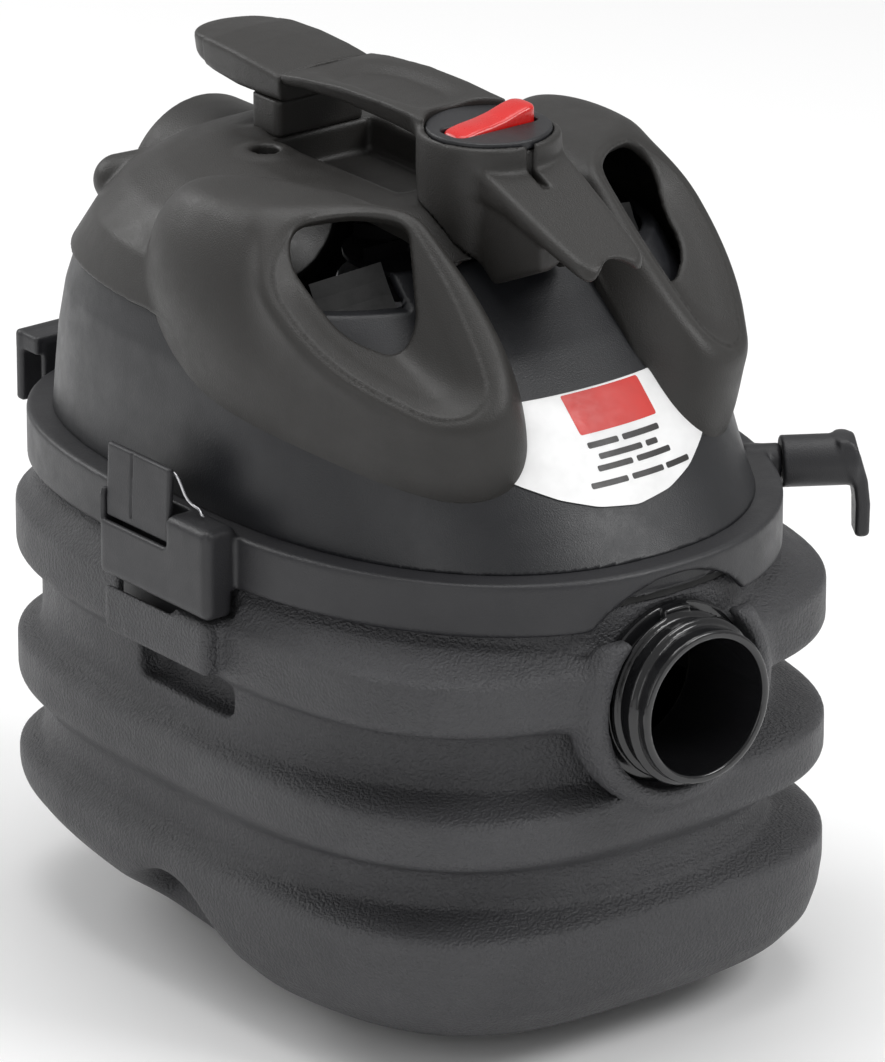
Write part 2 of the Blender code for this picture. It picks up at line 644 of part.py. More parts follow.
def make_handle_cap():
    """Overhanging rear cap of the handle, a separate moulding."""
    rows = ((74.3, 27, 390.6, 403.3), (90, 27.5, 388, 405), (110, 27, 386, 406.5), (130, 25.5, 385, 407),
            (146, 20, 386, 405.5), (155, 14, 388, 402), (160, 7, 390, 398))
    cap = loft("handle_cap", [rounded_section(half * MM, low * MM, high * MM, y * MM, 3 * MM)
                              for y, half, low, high in rows], "cover_plastic")
    cut(cap, block("under", (-40 * MM, 60 * MM, 370 * MM), (40 * MM, 99.4 * MM, 390.6 * MM)),
        loft("tail", [rounded_section((27 + 0.5) * MM, low * MM, high * MM, y * MM, 6 * MM)
                      for y, low, high in ((60, 380, 404), (74, 382, 403.5), (99.6, 377.5, 394.5))]))


def make_switch():
    centre = Vector((0, COLUMN_Y, 0))
    bezel = turned("switch_bezel", ((BEZEL_RADIUS, COLUMN_TOP - 3.2 * MM), (BEZEL_RADIUS, COLUMN_TOP + 0.5 * MM),
                                    (BEZEL_RADIUS - 2 * MM, COLUMN_TOP + 1.5 * MM)), centre, Z, "panel_plastic",
                   count=32, hollow=False)
    half, wide = ROCKER_LENGTH / 2 + 1.8 * MM, ROCKER_WIDTH / 2 + 0.6 * MM
    cut(bezel, block("opening", (-half, COLUMN_Y - wide, 380 * MM), (half, COLUMN_Y + wide, 420 * MM)))
    body = block("switch_body", (-21 * MM, COLUMN_Y - 11 * MM, 356 * MM), (21 * MM, COLUMN_Y + 11 * MM, 391 * MM),
                 "inner_plastic", bevel=1 * MM)
    cut(body, block("pit", (-18 * MM, COLUMN_Y - 7.2 * MM, 374 * MM), (18 * MM, COLUMN_Y + 7.2 * MM, 400 * MM)))
    make_rocker()


def make_rocker():
    """Red rocker, resting with its -X end pressed in; it tips about an axis along Y."""
    half, wide = ROCKER_LENGTH / 2, ROCKER_WIDTH / 2
    rings = []
    for x, low, high in ((-22, 399.5, 403.6), (-20.5, 397, 406), (-12, 395, 407.6), (0, 394, 408.6), (10, 396, 411),
                         (17, 399, 413), (20.5, 402, 412.4), (22, 405, 410)):
        ring = []
        for y, up in ((-1, 0), (1, 0), (1, 0.8), (0.8, 1), (-0.8, 1), (-1, 0.8)):
            ring.append(Vector((x * MM * half / (22 * MM), COLUMN_Y + y * wide, (low + (high - low) * up) * MM)))
        rings.append(ring)
    rocker = loft("rocker", rings, "red_plastic")
    join(rocker, block("tongue", (-3 * MM, COLUMN_Y - 6 * MM, 384 * MM), (3 * MM, COLUMN_Y + 6 * MM, 397 * MM)))


# ---------------------------------------------------------------- blower port

def make_blower_port():
    rear = PORT_Y + 6 * MM
    turned("blower_port", ((PORT_RADIUS - 3 * MM, 108 * MM), (PORT_RADIUS - 3 * MM, 121 * MM),
                           (PORT_RADIUS, 123 * MM), (PORT_RADIUS, rear - 1.5 * MM), (PORT_RADIUS - 1.5 * MM, rear),
                           (31.75 * MM, rear), (31.75 * MM, 108 * MM)),
           Vector((0, 0, PORT_Z)), Y, "cover_plastic", count=28)


# ---------------------------------------------------------------- works inside

def make_seal():
    outer, inner = inset_plan(BAND_PLAN, NECK_INSET + 0.2 * MM), inset_plan(BAND_PLAN, NECK_INSET + 4.3 * MM)
    loft("lid_seal", [plan_points(outer, SEAL_LOW), plan_points(outer, SEAL_TOP), plan_points(inner, SEAL_TOP),
                      plan_points(inner, SEAL_LOW)], "rubber", hollow=True)


def make_motor():
    down = Vector((0, 0, 0))
    deck_plan = inset_plan(WALL_PLAN, SHELL + 5 * MM)
    deck = loft("motor_deck", [plan_points(deck_plan, z) for z in (BAND_TOP + GAP, BAND_TOP + 3.5 * MM)],
                "inner_plastic")
    cut(deck, turned("hole", ((12 * MM, 230 * MM), (12 * MM, 250 * MM)), down, Z, count=24, hollow=False))
    floor = BAND_TOP + 3.8 * MM
    turned("motor_can", ((SHAFT_RADIUS + 2 * MM, floor), (AXIS_CAN, floor), (AXIS_CAN, 300 * MM),
                         (AXIS_CAN - 8 * MM, 322 * MM), (11.3 * MM, 326 * MM), (11.3 * MM, 318 * MM),
                         (SHAFT_RADIUS + 2 * MM, 318 * MM)), down, Z, "steel", count=32)
    for label, low in (("upper", 318.3 * MM), ("lower", BAND_TOP - 4.5 * MM)):
        inner, outer = SHAFT_RADIUS + 0.3 * MM, 11 * MM
        turned("motor_bearing_" + label, ((inner, low), (outer, low), (outer, low + 7 * MM), (inner, low + 7 * MM)),
               down, Z, "steel", count=20)
    turned("motor_shaft", ((SHAFT_RADIUS, 211.5 * MM), (SHAFT_RADIUS, 349 * MM)), down, Z, "steel", count=16,
           hollow=False)
    fan("impeller", 52 * MM, 213 * MM, 227 * MM, 8)
    fan("cooling_fan", 38 * MM, 333 * MM, 343 * MM, 6)


def fan(name, radius, low, high, blades):
    """A disc with upright blades and a hub bored for the shaft."""
    wheel = turned(name, ((radius, low), (radius, low + 2 * MM), (radius - 6 * MM, low + 2.4 * MM),
                          (12 * MM, low + 3 * MM), (9 * MM, high)), Vector(), Z, "inner_plastic", count=28,
                   hollow=False)
    for number in range(blades):
        blade = block("blade", (8 * MM, -1 * MM, low + 1 * MM), (radius - 3 * MM, 1 * MM, high - 1 * MM))
        blade.data.transform(Matrix.Rotation(2 * math.pi * number / blades, 4, "Z"))
        join(wheel, blade)
    cut(wheel, turned("bore", ((SHAFT_RADIUS + GAP, low - 5 * MM), (SHAFT_RADIUS + GAP, high + 5 * MM)),
                      Vector(), Z, count=16, hollow=False))


def make_fan_housing():
    """Can round the impeller, hanging under the deck, with the eye in its floor."""
    top = BAND_TOP
    can = turned("fan_housing", ((EYE_RADIUS, 204 * MM), (60 * MM, 204 * MM), (63 * MM, 207 * MM), (63 * MM, top),
                                 (60 * MM, top), (60 * MM, 209 * MM), (57 * MM, 207 * MM),
                                 (EYE_RADIUS, 207 * MM)), Vector(), Z, "inner_plastic", count=24)
    spider = block("spider", (-61.5 * MM, -4 * MM, 231 * MM), (61.5 * MM, 4 * MM, top - 5 * MM))
    crossed = block("crossed", (-4 * MM, -61.5 * MM, 231 * MM), (4 * MM, 61.5 * MM, top - 5 * MM))
    cup = turned("cup", ((15 * MM, 229.5 * MM), (15 * MM, top)), Vector(), Z, count=24, hollow=False)
    join(can, join(spider, crossed, cup))
    cut(can, turned("pocket", ((11.3 * MM, BAND_TOP - 4.8 * MM), (11.3 * MM, 245 * MM)), Vector(), Z, count=20,
                    hollow=False),
        turned("bore", ((6 * MM, 225 * MM), (6 * MM, 245 * MM)), Vector(), Z, count=16, hollow=False))


def make_filter_cage():
    """Slotted cage under the fan's eye, with a float ball loose inside it."""
    low, top = 120 * MM, 203.7 * MM
    cage = turned("filter_cage", ((CAGE_RADIUS, low), (CAGE_RADIUS, top), (CAGE_RADIUS - 3 * MM, top),
                                  (CAGE_RADIUS - 3 * MM, low + 3 * MM), (6 * MM, low + 3 * MM), (6 * MM, low)),
                  Vector(), Z, "inner_plastic", count=24)
    windows = []
    for number in range(4):
        window = block("window", (-70 * MM, -9 * MM, low + 14 * MM), (70 * MM, 9 * MM, top - 14 * MM))
        window.data.transform(Matrix.Rotation(math.pi * number / 4, 4, "Z"))
        windows.append(window)
    cut(cage, *windows)
    for number in range(4):
        guide = block("guide", (FLOAT_RADIUS + 1 * MM, -1.5 * MM, low + 1 * MM),
                      (CAGE_RADIUS - 2 * MM, 1.5 * MM, top - 25 * MM))
        guide.data.transform(Matrix.Rotation(math.pi * (number / 2 + 1 / 8), 4, "Z"))
        join(cage, guide)
    ball("float_ball", Vector((0, 0, FLOAT_Z)), (FLOAT_RADIUS,) * 3, (X, Y, Z), "red_plastic", 20, 12)


def make_filter_cartridge():
    """Pleated cartridge that slips over the cage from below."""
    pleats, low, high = 28, 124 * MM, 202 * MM
    outer, valley, inner = 70 * MM, 63 * MM, CAGE_RADIUS + 1 * MM
    rings = []
    for z, rounder in ((low, 1), (low + 5 * MM, 1), (low + 6 * MM, 0), (high - 6 * MM, 0), (high - 5 * MM, 1),
                       (high, 1)):
        ring = []
        for step in range(pleats * 2):
            angle = math.pi * step / pleats
            radius = outer + 1 * MM if rounder else (outer if step % 2 else valley)
            ring.append(Vector((radius * math.cos(angle), radius * math.sin(angle), z)))
        rings.append(ring)
    cartridge = loft("filter_cartridge", rings, "filter_paper")
    cut(cartridge, turned("bore", ((inner, low - 5 * MM), (inner, high + 5 * MM)), Vector(), Z, count=24,
                          hollow=False))


def make_scoop_baffle(side, label):
    """Curved plate under each scoop mouth that turns the cooling air inwards."""
    normal, slope = SCOOP_NORMAL.normalized(), SCOOP_SLOPE.normalized()
    across = normal.cross(slope)
    middle = SCOOP_CENTRE - slope * 8 * MM - normal * 27 * MM
    rings = []
    for step in range(7):
        along = (step - 3) * 7 * MM
        bow = (along / (21 * MM)) ** 2 * 5 * MM
        spot = middle + slope * along + normal * bow
        corners = [spot + across * wide * 17 * MM + normal * thick * MM
                   for wide, thick in ((-1, 0), (1, 0), (1, 2.4), (-1, 2.4))]
        rings.append([Vector((point.x * -side, point.y, point.z)) for point in corners])
    loft("scoop_baffle_" + label, rings, "inner_plastic")


# ---------------------------------------------------------------- build

def main():
    clear_scene()
    make_tank()
    make_inlet()
    make_lid_ring()
    for side, label in ((-1, "left"), (1, "right")):
        make_latch(side, label)
    make_cord_hook()
    make_rear_hook()
    make_housing()
    make_top_cover()
    make_screws()
    make_front_panel()
    make_handle()
    make_handle_cap()
    make_switch()
    make_blower_port()
    make_seal()
    make_motor()
    make_fan_housing()
    make_filter_cage()
    make_filter_cartridge()
    for side, label in ((-1, "left"), (1, "right")):
        make_scoop_baffle(side, label)


main()
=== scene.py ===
"""Looks of a portable wet/dry shop vacuum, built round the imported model.

Lengths inside the shape functions are millimetres; a field returns how far a point lies outside a shape,
negative inside.  The hose inlet faces -Y, and the shapes of the head are the same on both sides of X = 0.
"""
import math

import bmesh
import bpy
import numpy as np
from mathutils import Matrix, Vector


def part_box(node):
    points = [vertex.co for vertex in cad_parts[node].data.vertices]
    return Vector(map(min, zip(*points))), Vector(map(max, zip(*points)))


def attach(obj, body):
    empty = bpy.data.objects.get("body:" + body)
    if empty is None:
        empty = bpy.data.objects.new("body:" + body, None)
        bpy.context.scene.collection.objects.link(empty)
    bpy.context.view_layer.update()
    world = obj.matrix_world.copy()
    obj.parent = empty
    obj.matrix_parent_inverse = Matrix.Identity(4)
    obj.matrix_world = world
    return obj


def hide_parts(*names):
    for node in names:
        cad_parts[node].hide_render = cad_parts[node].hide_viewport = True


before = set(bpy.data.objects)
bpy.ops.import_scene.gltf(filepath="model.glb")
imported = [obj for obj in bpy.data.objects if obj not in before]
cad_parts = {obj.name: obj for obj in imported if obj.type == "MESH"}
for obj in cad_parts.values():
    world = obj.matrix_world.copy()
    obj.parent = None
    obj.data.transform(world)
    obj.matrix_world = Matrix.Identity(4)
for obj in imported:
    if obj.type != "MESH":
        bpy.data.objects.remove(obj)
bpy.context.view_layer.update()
MM = 0.001

# ---- plan outlines: half width, reach to the front, reach to the rear, squareness in front, behind
RIB_PLAN = (142.4, 179.4, 196.9, 3.4, 3.4)
GROOVE_PLAN = (134, 168, 186, 2.4, 3.3)
BAND_PLAN = (136.9, 181.4, 202.9, 2.25, 3.0)

# ---- tank: height, swell from the groove outline (0) to the rib outline (1), extra inset
TANK_PROFILE = ((0, 1, 62), (8, 1, 42), (16, 1, 25), (24, 1, 13), (34, 1, 5), (46, 1, 1.5), (58, 1, 0),
                (71, 1, 0), (73, 0.97, 0), (76, 0.5, 0), (79, 0.04, 0), (81, 0, 0), (97, 0, 0),
                (99, 0.1, 0), (108, 0.92, 0), (112, 1, 0), (128, 1, 0), (130, 0.97, 0), (133, 0.5, 0),
                (136, 0.04, 0), (138, 0, 0), (162, 0, 0), (164, 0.1, 0), (171, 0.92, 0), (175, 1, 0),
                (194, 1, 0), (196, 0.97, 0), (200, 0.55, 0), (205, 0.2, 0), (209, 0.1, 3), (212, 0.1, 6))
TANK_WALL, TANK_TOP, RIM_TOP, NECK_INSET = 4.5, 212, 220, 6.2
NECK_LOW, NECK_JOIN = 190, 204
INLET = (0, 0, 175)
BOSS_FACE, BOSS_RADIUS, BOSS_FLARE = -187.8, 51.5, 0.30
BORE, COLLAR_RADIUS, COLLAR_FACE, RECESS_FLOOR = 31.75, 35.6, -203, -174
THREAD_PITCH, THREAD_HEIGHT = 11.0, 2.8
FINGER_Y, FINGER_HALF, FINGER_HEIGHT, FINGER_REACH = 12, 46, 60, 112
UNDERCUT_Y, UNDERCUT_RISE = (-150, -100, -60, -20, 120, 200), (0, 14, 28, 42, 56, 58)

# ---- lid band
BAND_LOW, BAND_TOP, LEDGE_LOW, LEDGE_INSET, ARCH_RADIUS = 212.1, 237, 225, 25, 57
POCKET_LOW, POCKET_TOP, POCKET_OUT = 199.5, 242, 151.9
POCKET_Y, LEVER_Y, LEVER_GAP = (-36, 46), (-5, 42), 0.8
CATCH_LOW, CATCH_TOP, CATCH_OUT = 172, 197.4, 151.4
CATCH_HOLLOW = ((-160, -30, 147), (-121, 40, 171))

# ---- head housing: height, half width, reach to the front and to the rear
HOUSING_PROFILE = ((237.3, 125, 169, 193), (246, 125, 161, 191.5), (256, 125, 153, 190), (278, 125, 137, 186),
                   (300, 124, 119, 180), (316, 121, 101, 174), (331, 117, 82, 167), (350, 106, 60, 152))
COVER_PROFILE = ((290, 127, 112, 184), (300.4, 127, 112, 182), (318, 125, 100, 175), (340, 117, 80, 160),
                 (355, 101, 64, 149), (365, 84, 54, 134), (372, 62, 46, 116), (378, 36, 30, 80))
HEAD_BLUNT = (2.25, 3.0)
HOUSING_LOW, HOUSING_SIDE_TOP, PANEL_TOP, PANEL_HALF = 236.4, 336, 349, 60
PARTING_Z, DOME_TOP, POD_TOP, COVER_WALL = 318.5, 371, 380, 3
SCREW_X, SCREW_Y, EAR_RADIUS = -40, 67, 13
POD_CENTRE = np.array((-78.1, -34.8, 311.4))
POD_RADII = (46.4, 108.1, 73.7)
POD_TURN = np.array((0.435, 0.052, 0.242))
POD_BLUNT = 1.9

# ---- scoop: outlines in the plane of the scoop's rim, along the slope and across it
SCOOP_CENTRE = np.array((-88.0, -72.0, 344.0))
SCOOP_NORMAL = np.array((-0.405, -0.585, 0.703))
SCOOP_SLOPE = np.array((-0.129, -0.724, -0.677))
RIM_CORNERS = ((-52, -14), (-30, -37), (18, -27), (64, 14), (60, 35), (10, 40), (-42, 29))
MOUTH_CORNERS = ((-50, -17), (-36, -25), (6, -13), (20, 6), (12, 19), (-34, 31), (-46, 14))
SCOOP_DEPTH, SCOOP_SHOULDER, MOUTH_DEPTH = 13, 24, 60
GRIP_LOW, GRIP_HIGH, GRIP_LINING = (-27, -16, 355), (27, 77, 400), 3

# ---- handle and switch: the column's height, half width and half depth; bar and cap along Y
COLUMN_Y, COLUMN_TOP, COLUMN_LOW = -46, 404, 331
COLUMN_PROFILE = ((325, 36, 23), (331, 35, 24), (345, 33, 25), (365, 31.5, 27), (385, 31, 30),
                  (404, 30.5, 30.5))
BAR_PROFILE = ((-50, 23, 402), (-30, 24, 408), (0, 25, 409), (30, 26, 408.5), (60, 27, 405.5),
               (76, 27, 402.8))
CAP_PROFILE = ((70, 27, 403.4, 388), (90, 27.2, 405.6, 387), (110, 26.5, 407, 386.5), (130, 25, 407, 388),
               (150, 22, 404.5, 391), (162, 20, 402, 393))
CAP_HALF, CAP_END_Y, CAP_END_RADIUS, CAP_FRONT = 27, 137, 22.8, 74.4
BEAK_ROOT_Y, BEAK_TOP, BEAK_FALL = -62, 398.5, 0.455
ROCKER_TOP = ((-24, 403.2), (-19, 405.6), (-12, 407.0), (-4, 407.8), (4, 409.2), (12, 411.6), (17, 412.7),
              (20, 412.6), (24, 411.6))
PORT_Z, PORT_RADIUS = 320, 43
HOOK_START = np.array((119, -89.6, 230.0))
HOOK_DIRECTION = np.array((0.8486, -0.5291, 0.0))
LATCH_WIRE = ((145.0, 2, 260.6), (145.2, -4, 261), (144.8, -7.5, 258.5), (143.4, -9, 251),
              (141.2, -11.5, 246.5), (140.2, -14.5, 245.8), (140.6, -17.5, 245.2), (141.4, -19.2, 244),
              (140.6, -19.4, 243.2))
WIRE_RADIUS = 0.75

# ---- label, in (x, z) on the front of the head
LABEL_HALF = ((46.8, 301.5), (57, 294), (66.5, 286.5), (65, 280), (52.8, 271.5), (37, 264), (20, 259),
              (0, 256.6))
LABEL_BLOCK = ((-17, 301.0), (27.5, 301.0), (29.5, 285.8), (-15.2, 285.8))
LABEL_DASHES = ((281.6, (-14, 3), (5.5, 27.5)), (277.0, (-10.5, 14), (16.5, 23.5)),
                (272.7, (-13.5, 6), (8.5, 29)), (266.9, (-20, 0), (2.5, 21), (23, 38)))
DASH_HALF_HEIGHT = 1.1

# ---- studio and camera
LAMPS = (("key", (1.3, -1.9, 2.3), 1.3, 38), ("fill", (-2.2, -1.0, 1.1), 1.6, 9),
         ("top", (0.1, 0.3, 2.6), 1.8, 28), ("back", (-0.8, 2.2, 1.6), 1.2, 22))
WORLD_LIGHT = 0.42
CAMERA_SPOT, CAMERA_AIM = (-2.3617, -3.0350, 1.6737), (0.0466, 0.0473, 0.1720)
CAMERA_LENS, CAMERA_SENSOR = 305.08, 36


# ================================================================ distance fields

def soft_min(a, b, blend):
    share = np.clip(0.5 + 0.5 * (b - a) / blend, 0, 1)
    return b + (a - b) * share - blend * share * (1 - share)


def soft_max(a, b, blend):
    return -soft_min(-a, -b, blend)


def box_field(p, low, high, rounding=0.0):
    low, high = np.array(low, float), np.array(high, float)
    q = np.abs(p - (low + high) / 2) - (high - low) / 2 + rounding
    return np.linalg.norm(np.maximum(q, 0), axis=1) + np.minimum(q.max(axis=1), 0) - rounding


def round_field(p, centre, direction, radius, start, end, rounding=0.0):
    """A round bar; radius may be an array that follows the points."""
    q = p - np.array(centre, float)
    direction = np.array(direction, float)
    along = q @ direction
    across = np.linalg.norm(q - along[:, None] * direction, axis=1) - radius + rounding
    ends = np.abs(along - (start + end) / 2) - (end - start) / 2 + rounding
    outside = np.hypot(np.maximum(across, 0), np.maximum(ends, 0))
    return outside + np.minimum(np.maximum(across, ends), 0) - rounding


def capsule_field(p, start, end, radius):
    start, end = np.array(start, float), np.array(end, float)
    line = end - start
    share = np.clip((p - start) @ line / (line @ line), 0, 1)
    return np.linalg.norm(p - start - share[:, None] * line, axis=1) - radius


def plan_field(p, half, front, rear, blunt_front, blunt_rear):
    """Distance from an egg-shaped upright wall."""
    x, y = np.abs(p[:, 0]), p[:, 1]
    blunt = np.where(y < 0, blunt_front, blunt_rear)
    reach = np.where(y < 0, front, rear)
    wide, deep = (x + 1e-6) / half, (np.abs(y) + 1e-6) / reach
    size = (wide ** blunt + deep ** blunt) ** (1 / blunt)
    slope = np.hypot((wide / size) ** (blunt - 1) / half, (deep / size) ** (blunt - 1) / reach)
    return (size - 1) / slope


def rows_at(z, rows):
    """The columns of a profile at the given heights, eased between its rows."""
    rows = np.array(rows, float)
    fine = np.arange(rows[0, 0], rows[-1, 0] + 0.5, 0.5)
    kernel = np.exp(-0.5 * (np.arange(-8, 9) / 2.2) ** 2)
    kernel /= kernel.sum()
    eased = []
    for column in range(1, rows.shape[1]):
        plain = np.interp(fine, rows[:, 0], rows[:, column])
        padded = np.concatenate([2 * plain[0] - plain[8:0:-1], plain, 2 * plain[-1] - plain[-2:-10:-1]])
        eased.append(np.interp(z, fine, np.convolve(padded, kernel, "valid")))
    return eased


def corners_field(u, v, corners, blend, grow=0.0):
    """Rounded convex outline through corners listed clockwise in the (u, v) plane."""
    result = None
    for (u0, v0), (u1, v1) in zip(corners, corners[1:] + corners[:1]):
        length = math.hypot(u1 - u0, v1 - v0)
        side = ((u - u0) * (v1 - v0) - (v - v0) * (u1 - u0)) / length - grow
        result = side if result is None else soft_max(result, side, blend)
    return result


def left_side(p):
    """Points folded onto the -X half."""
    folded = p.copy()
    folded[:, 0] = -np.abs(folded[:, 0])
    return folded


# ================================================================ skinning a field

def sample(field, low, counts, step):
    """Field values on a grid, exact near the surface and rough elsewhere."""
    stride = 4
    coarse = [np.arange(0, n + stride, stride) for n in counts]
    grid = np.stack(np.meshgrid(*coarse, indexing="ij"), -1).reshape(-1, 3)
    rough = evaluate(field, low + grid * step).reshape([len(c) for c in coarse])
    close = np.abs(rough) < stride * step * 2.6
    near = np.zeros([len(c) - 1 for c in coarse], bool)
    for i in (0, 1):
        for j in (0, 1):
            for k in (0, 1):
                near |= close[i:i + near.shape[0], j:j + near.shape[1], k:k + near.shape[2]]
    values = rough[:-1, :-1, :-1]
    for axis in range(3):
        values = values.repeat(stride, axis)
        near = near.repeat(stride, axis)
    values = values[:counts[0], :counts[1], :counts[2]].copy()
    wanted = np.argwhere(near[:counts[0], :counts[1], :counts[2]])
    values[tuple(wanted.T)] = evaluate(field, low + wanted * step)
    return values


def evaluate(field, points, chunk=400000):
    return np.concatenate([field(points[i:i + chunk]) for i in range(0, len(points), chunk)])


def settle(field, points, step):
    """Moves points onto the field's zero surface."""
    reach = 0.2
    corners = np.array(((1, -1, -1), (-1, -1, 1), (-1, 1, -1), (1, 1, 1)), float)
    slope = sum(corner * evaluate(field, points + corner * reach)[:, None] for corner in corners)
    slope = slope / (4 * reach)
    value = evaluate(field, points)
    move = value[:, None] * slope / np.maximum((slope ** 2).sum(1), 0.05)[:, None]
    size = np.linalg.norm(move, axis=1)
    return points - move * np.minimum(1, 0.6 * step / np.maximum(size, 1e-9))[:, None]


def relax(points, quads, amount=0.5):
    ends = np.concatenate([quads[:, [0, 1]], quads[:, [1, 2]], quads[:, [2, 3]], quads[:, [3, 0]]])
    total = np.zeros_like(points)
    count = np.bincount(ends.ravel(), minlength=len(points))
    for axis in range(3):
        total[:, axis] = (np.bincount(ends[:, 0], points[ends[:, 1], axis], len(points))
                          + np.bincount(ends[:, 1], points[ends[:, 0], axis], len(points)))
    return points * (1 - amount) + total / np.maximum(count, 1)[:, None] * amount


def skin(field, low, high, step):
    """Vertices (mm) and quads of the field's zero surface inside a box."""
    low = np.array(low, float) - 1.5 * step
    counts = np.ceil((np.array(high, float) - low) / step).astype(int) + 3
    values = sample(field, low, counts, step)
    inside = values < 0
    shape = counts - 1
    offsets = np.array([(i, j, k) for i in (0, 1) for j in (0, 1) for k in (0, 1)])
    filled = sum(inside[i:i + shape[0], j:j + shape[1], k:k + shape[2]].astype(int) for i, j, k in offsets)
    cells = np.argwhere((filled > 0) & (filled < 8))
    number = np.full(shape, -1)
    number[tuple(cells.T)] = np.arange(len(cells))
    corner_values = np.stack([values[tuple((cells + o).T)] for o in offsets], 1)
    points = np.zeros((len(cells), 3))
    hits = np.zeros(len(cells))
    for a in range(8):
        for b in range(a + 1, 8):
            if np.abs(offsets[a] - offsets[b]).sum() != 1:
                continue
            start, end = corner_values[:, a], corner_values[:, b]
            crossed = (start < 0) != (end < 0)
            share = np.where(crossed, start / np.where(crossed, start - end, 1), 0)[:, None]
            points += (offsets[a] + share * (offsets[b] - offsets[a])) * crossed[:, None]
            hits += crossed
    points = low + (cells + points / hits[:, None]) * step
    quads = []
    for axis in range(3):
        nxt = [slice(None)] * 3
        nxt[axis] = slice(1, None)
        here = [slice(None)] * 3
        here[axis] = slice(None, -1)
        change = inside[tuple(here)] != inside[tuple(nxt)]
        edges = np.argwhere(change)
        one, two = [a for a in range(3) if a != axis]
        edges = edges[(edges[:, one] > 0) & (edges[:, two] > 0)]
        edges = edges[(edges[:, one] < shape[one]) & (edges[:, two] < shape[two])]
        ring = []
        for back_one, back_two in ((1, 1), (0, 1), (0, 0), (1, 0)):
            cell = edges.copy()
            cell[:, one] -= back_one
            cell[:, two] -= back_two
            ring.append(number[tuple(cell.T)])
        quad = np.stack(ring, 1)
        outward = inside[tuple(edges.T)] == (axis != 1)
        quad[~outward] = quad[~outward][:, ::-1]
        quads.append(quad)
    quads = np.concatenate(quads)
    quads = quads[(quads >= 0).all(1)]
    for _ in range(2):
        points = settle(field, points, step)
    for _ in range(2):
        points = settle(field, settle(field, relax(points, quads), step), step)
    return points, quads


def add_mesh(name, points, faces, material):
    mesh = bpy.data.meshes.new(name)
    mesh.from_pydata(np.asarray(points) * MM, [], faces)
    mesh.validate()
    mesh.shade_smooth()
    mesh.materials.append(material)
    piece = bpy.data.objects.new(name, mesh)
    bpy.context.scene.collection.objects.link(piece)
    return piece


def skinned(name, field, low, high, step, material):
    points, quads = skin(field, low, high, step)
    return add_mesh(name, points, quads.tolist(), material)


def placed(piece, body, slot, *nodes):
    """Rides the piece on its body and hides the plain nodes it stands for."""
    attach(piece, body)
    if nodes:
        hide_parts(*nodes)
    return piece


# ================================================================ materials

def node_tools(name):
    made = bpy.data.materials.new(name)
    made.use_nodes = True
    nodes, links = made.node_tree.nodes, made.node_tree.links
    return made, nodes, links, nodes["Principled BSDF"]


def noise(nodes, links, scale, detail, rough):
    place = nodes.new("ShaderNodeTexCoord")
    texture = nodes.new("ShaderNodeTexNoise")
    texture.inputs["Scale"].default_value = scale
    texture.inputs["Detail"].default_value = detail
    texture.inputs["Roughness"].default_value = rough
    links.new(place.outputs["Object"], texture.inputs["Vector"])
    return texture


def spread(nodes, links, source, low, high, from_low=0.3, from_high=0.7):
    """Maps a texture's value to a range."""
    ramp = nodes.new("ShaderNodeMapRange")
    ramp.inputs["From Min"].default_value = from_low
    ramp.inputs["From Max"].default_value = from_high
    ramp.inputs["To Min"].default_value = low
    ramp.inputs["To Max"].default_value = high
    links.new(source, ramp.inputs["Value"])
    return ramp.outputs["Result"]


def tint(nodes, links, source, dark, light):
    mix = nodes.new("ShaderNodeMix")
    mix.data_type = "RGBA"
    mix.inputs["A"].default_value = (*dark, 1)
    mix.inputs["B"].default_value = (*light, 1)
    links.new(source, mix.inputs["Factor"])
    return mix.outputs["Result"]


def bump(nodes, links, shader, height, depth_mm):
    node = nodes.new("ShaderNodeBump")
    node.inputs["Strength"].default_value = 1.0
    node.inputs["Distance"].default_value = depth_mm * MM
    links.new(height, node.inputs["Height"])
    links.new(node.outputs["Normal"], shader.inputs["Normal"])


def grained_plastic(name, dark, light, rough, grain_mm, depth_mm):
    """Moulded plastic with a leathery grain, slow colour drift and uneven sheen."""
    made, nodes, links, shader = node_tools(name)
    drift = noise(nodes, links, 9, 4, 0.6)
    links.new(tint(nodes, links, spread(nodes, links, drift.outputs["Fac"], 0, 1), dark, light),
              shader.inputs["Base Color"])
    scuff = noise(nodes, links, 60, 6, 0.7)
    links.new(spread(nodes, links, scuff.outputs["Fac"], rough - 0.07, rough + 0.07),
              shader.inputs["Roughness"])
    grain = noise(nodes, links, 1 / (grain_mm * MM), 2, 0.55)
    bump(nodes, links, shader, spread(nodes, links, grain.outputs["Fac"], 0, 1, 0.32, 0.68), depth_mm)
    return made


def plain_material(name, colour, rough, metal=0.0, grain_mm=0.6, depth_mm=0.02, coat=0.0):
    """Smooth moulding or metal with faint surface texture and uneven polish."""
    made, nodes, links, shader = node_tools(name)
    drift = noise(nodes, links, 25, 4, 0.6)
    dark, light = [c * 0.88 for c in colour], [min(c * 1.12, 1) for c in colour]
    links.new(tint(nodes, links, spread(nodes, links, drift.outputs["Fac"], 0, 1), dark, light),
              shader.inputs["Base Color"])
    shader.inputs["Metallic"].default_value = metal
    shader.inputs["Coat Weight"].default_value = coat
    shader.inputs["Coat Roughness"].default_value = 0.12
    polish = noise(nodes, links, 140, 5, 0.7)
    links.new(spread(nodes, links, polish.outputs["Fac"], rough * 0.8, rough * 1.25),
              shader.inputs["Roughness"])
    grain = noise(nodes, links, 1 / (grain_mm * MM), 2, 0.5)
    bump(nodes, links, shader, grain.outputs["Fac"], depth_mm)
    return made


def floor_material():
    made, _, _, shader = node_tools("studio_floor")
    shader.inputs["Base Color"].default_value = (0.97, 0.97, 0.97, 1)
    shader.inputs["Roughness"].default_value = 0.8
    return made


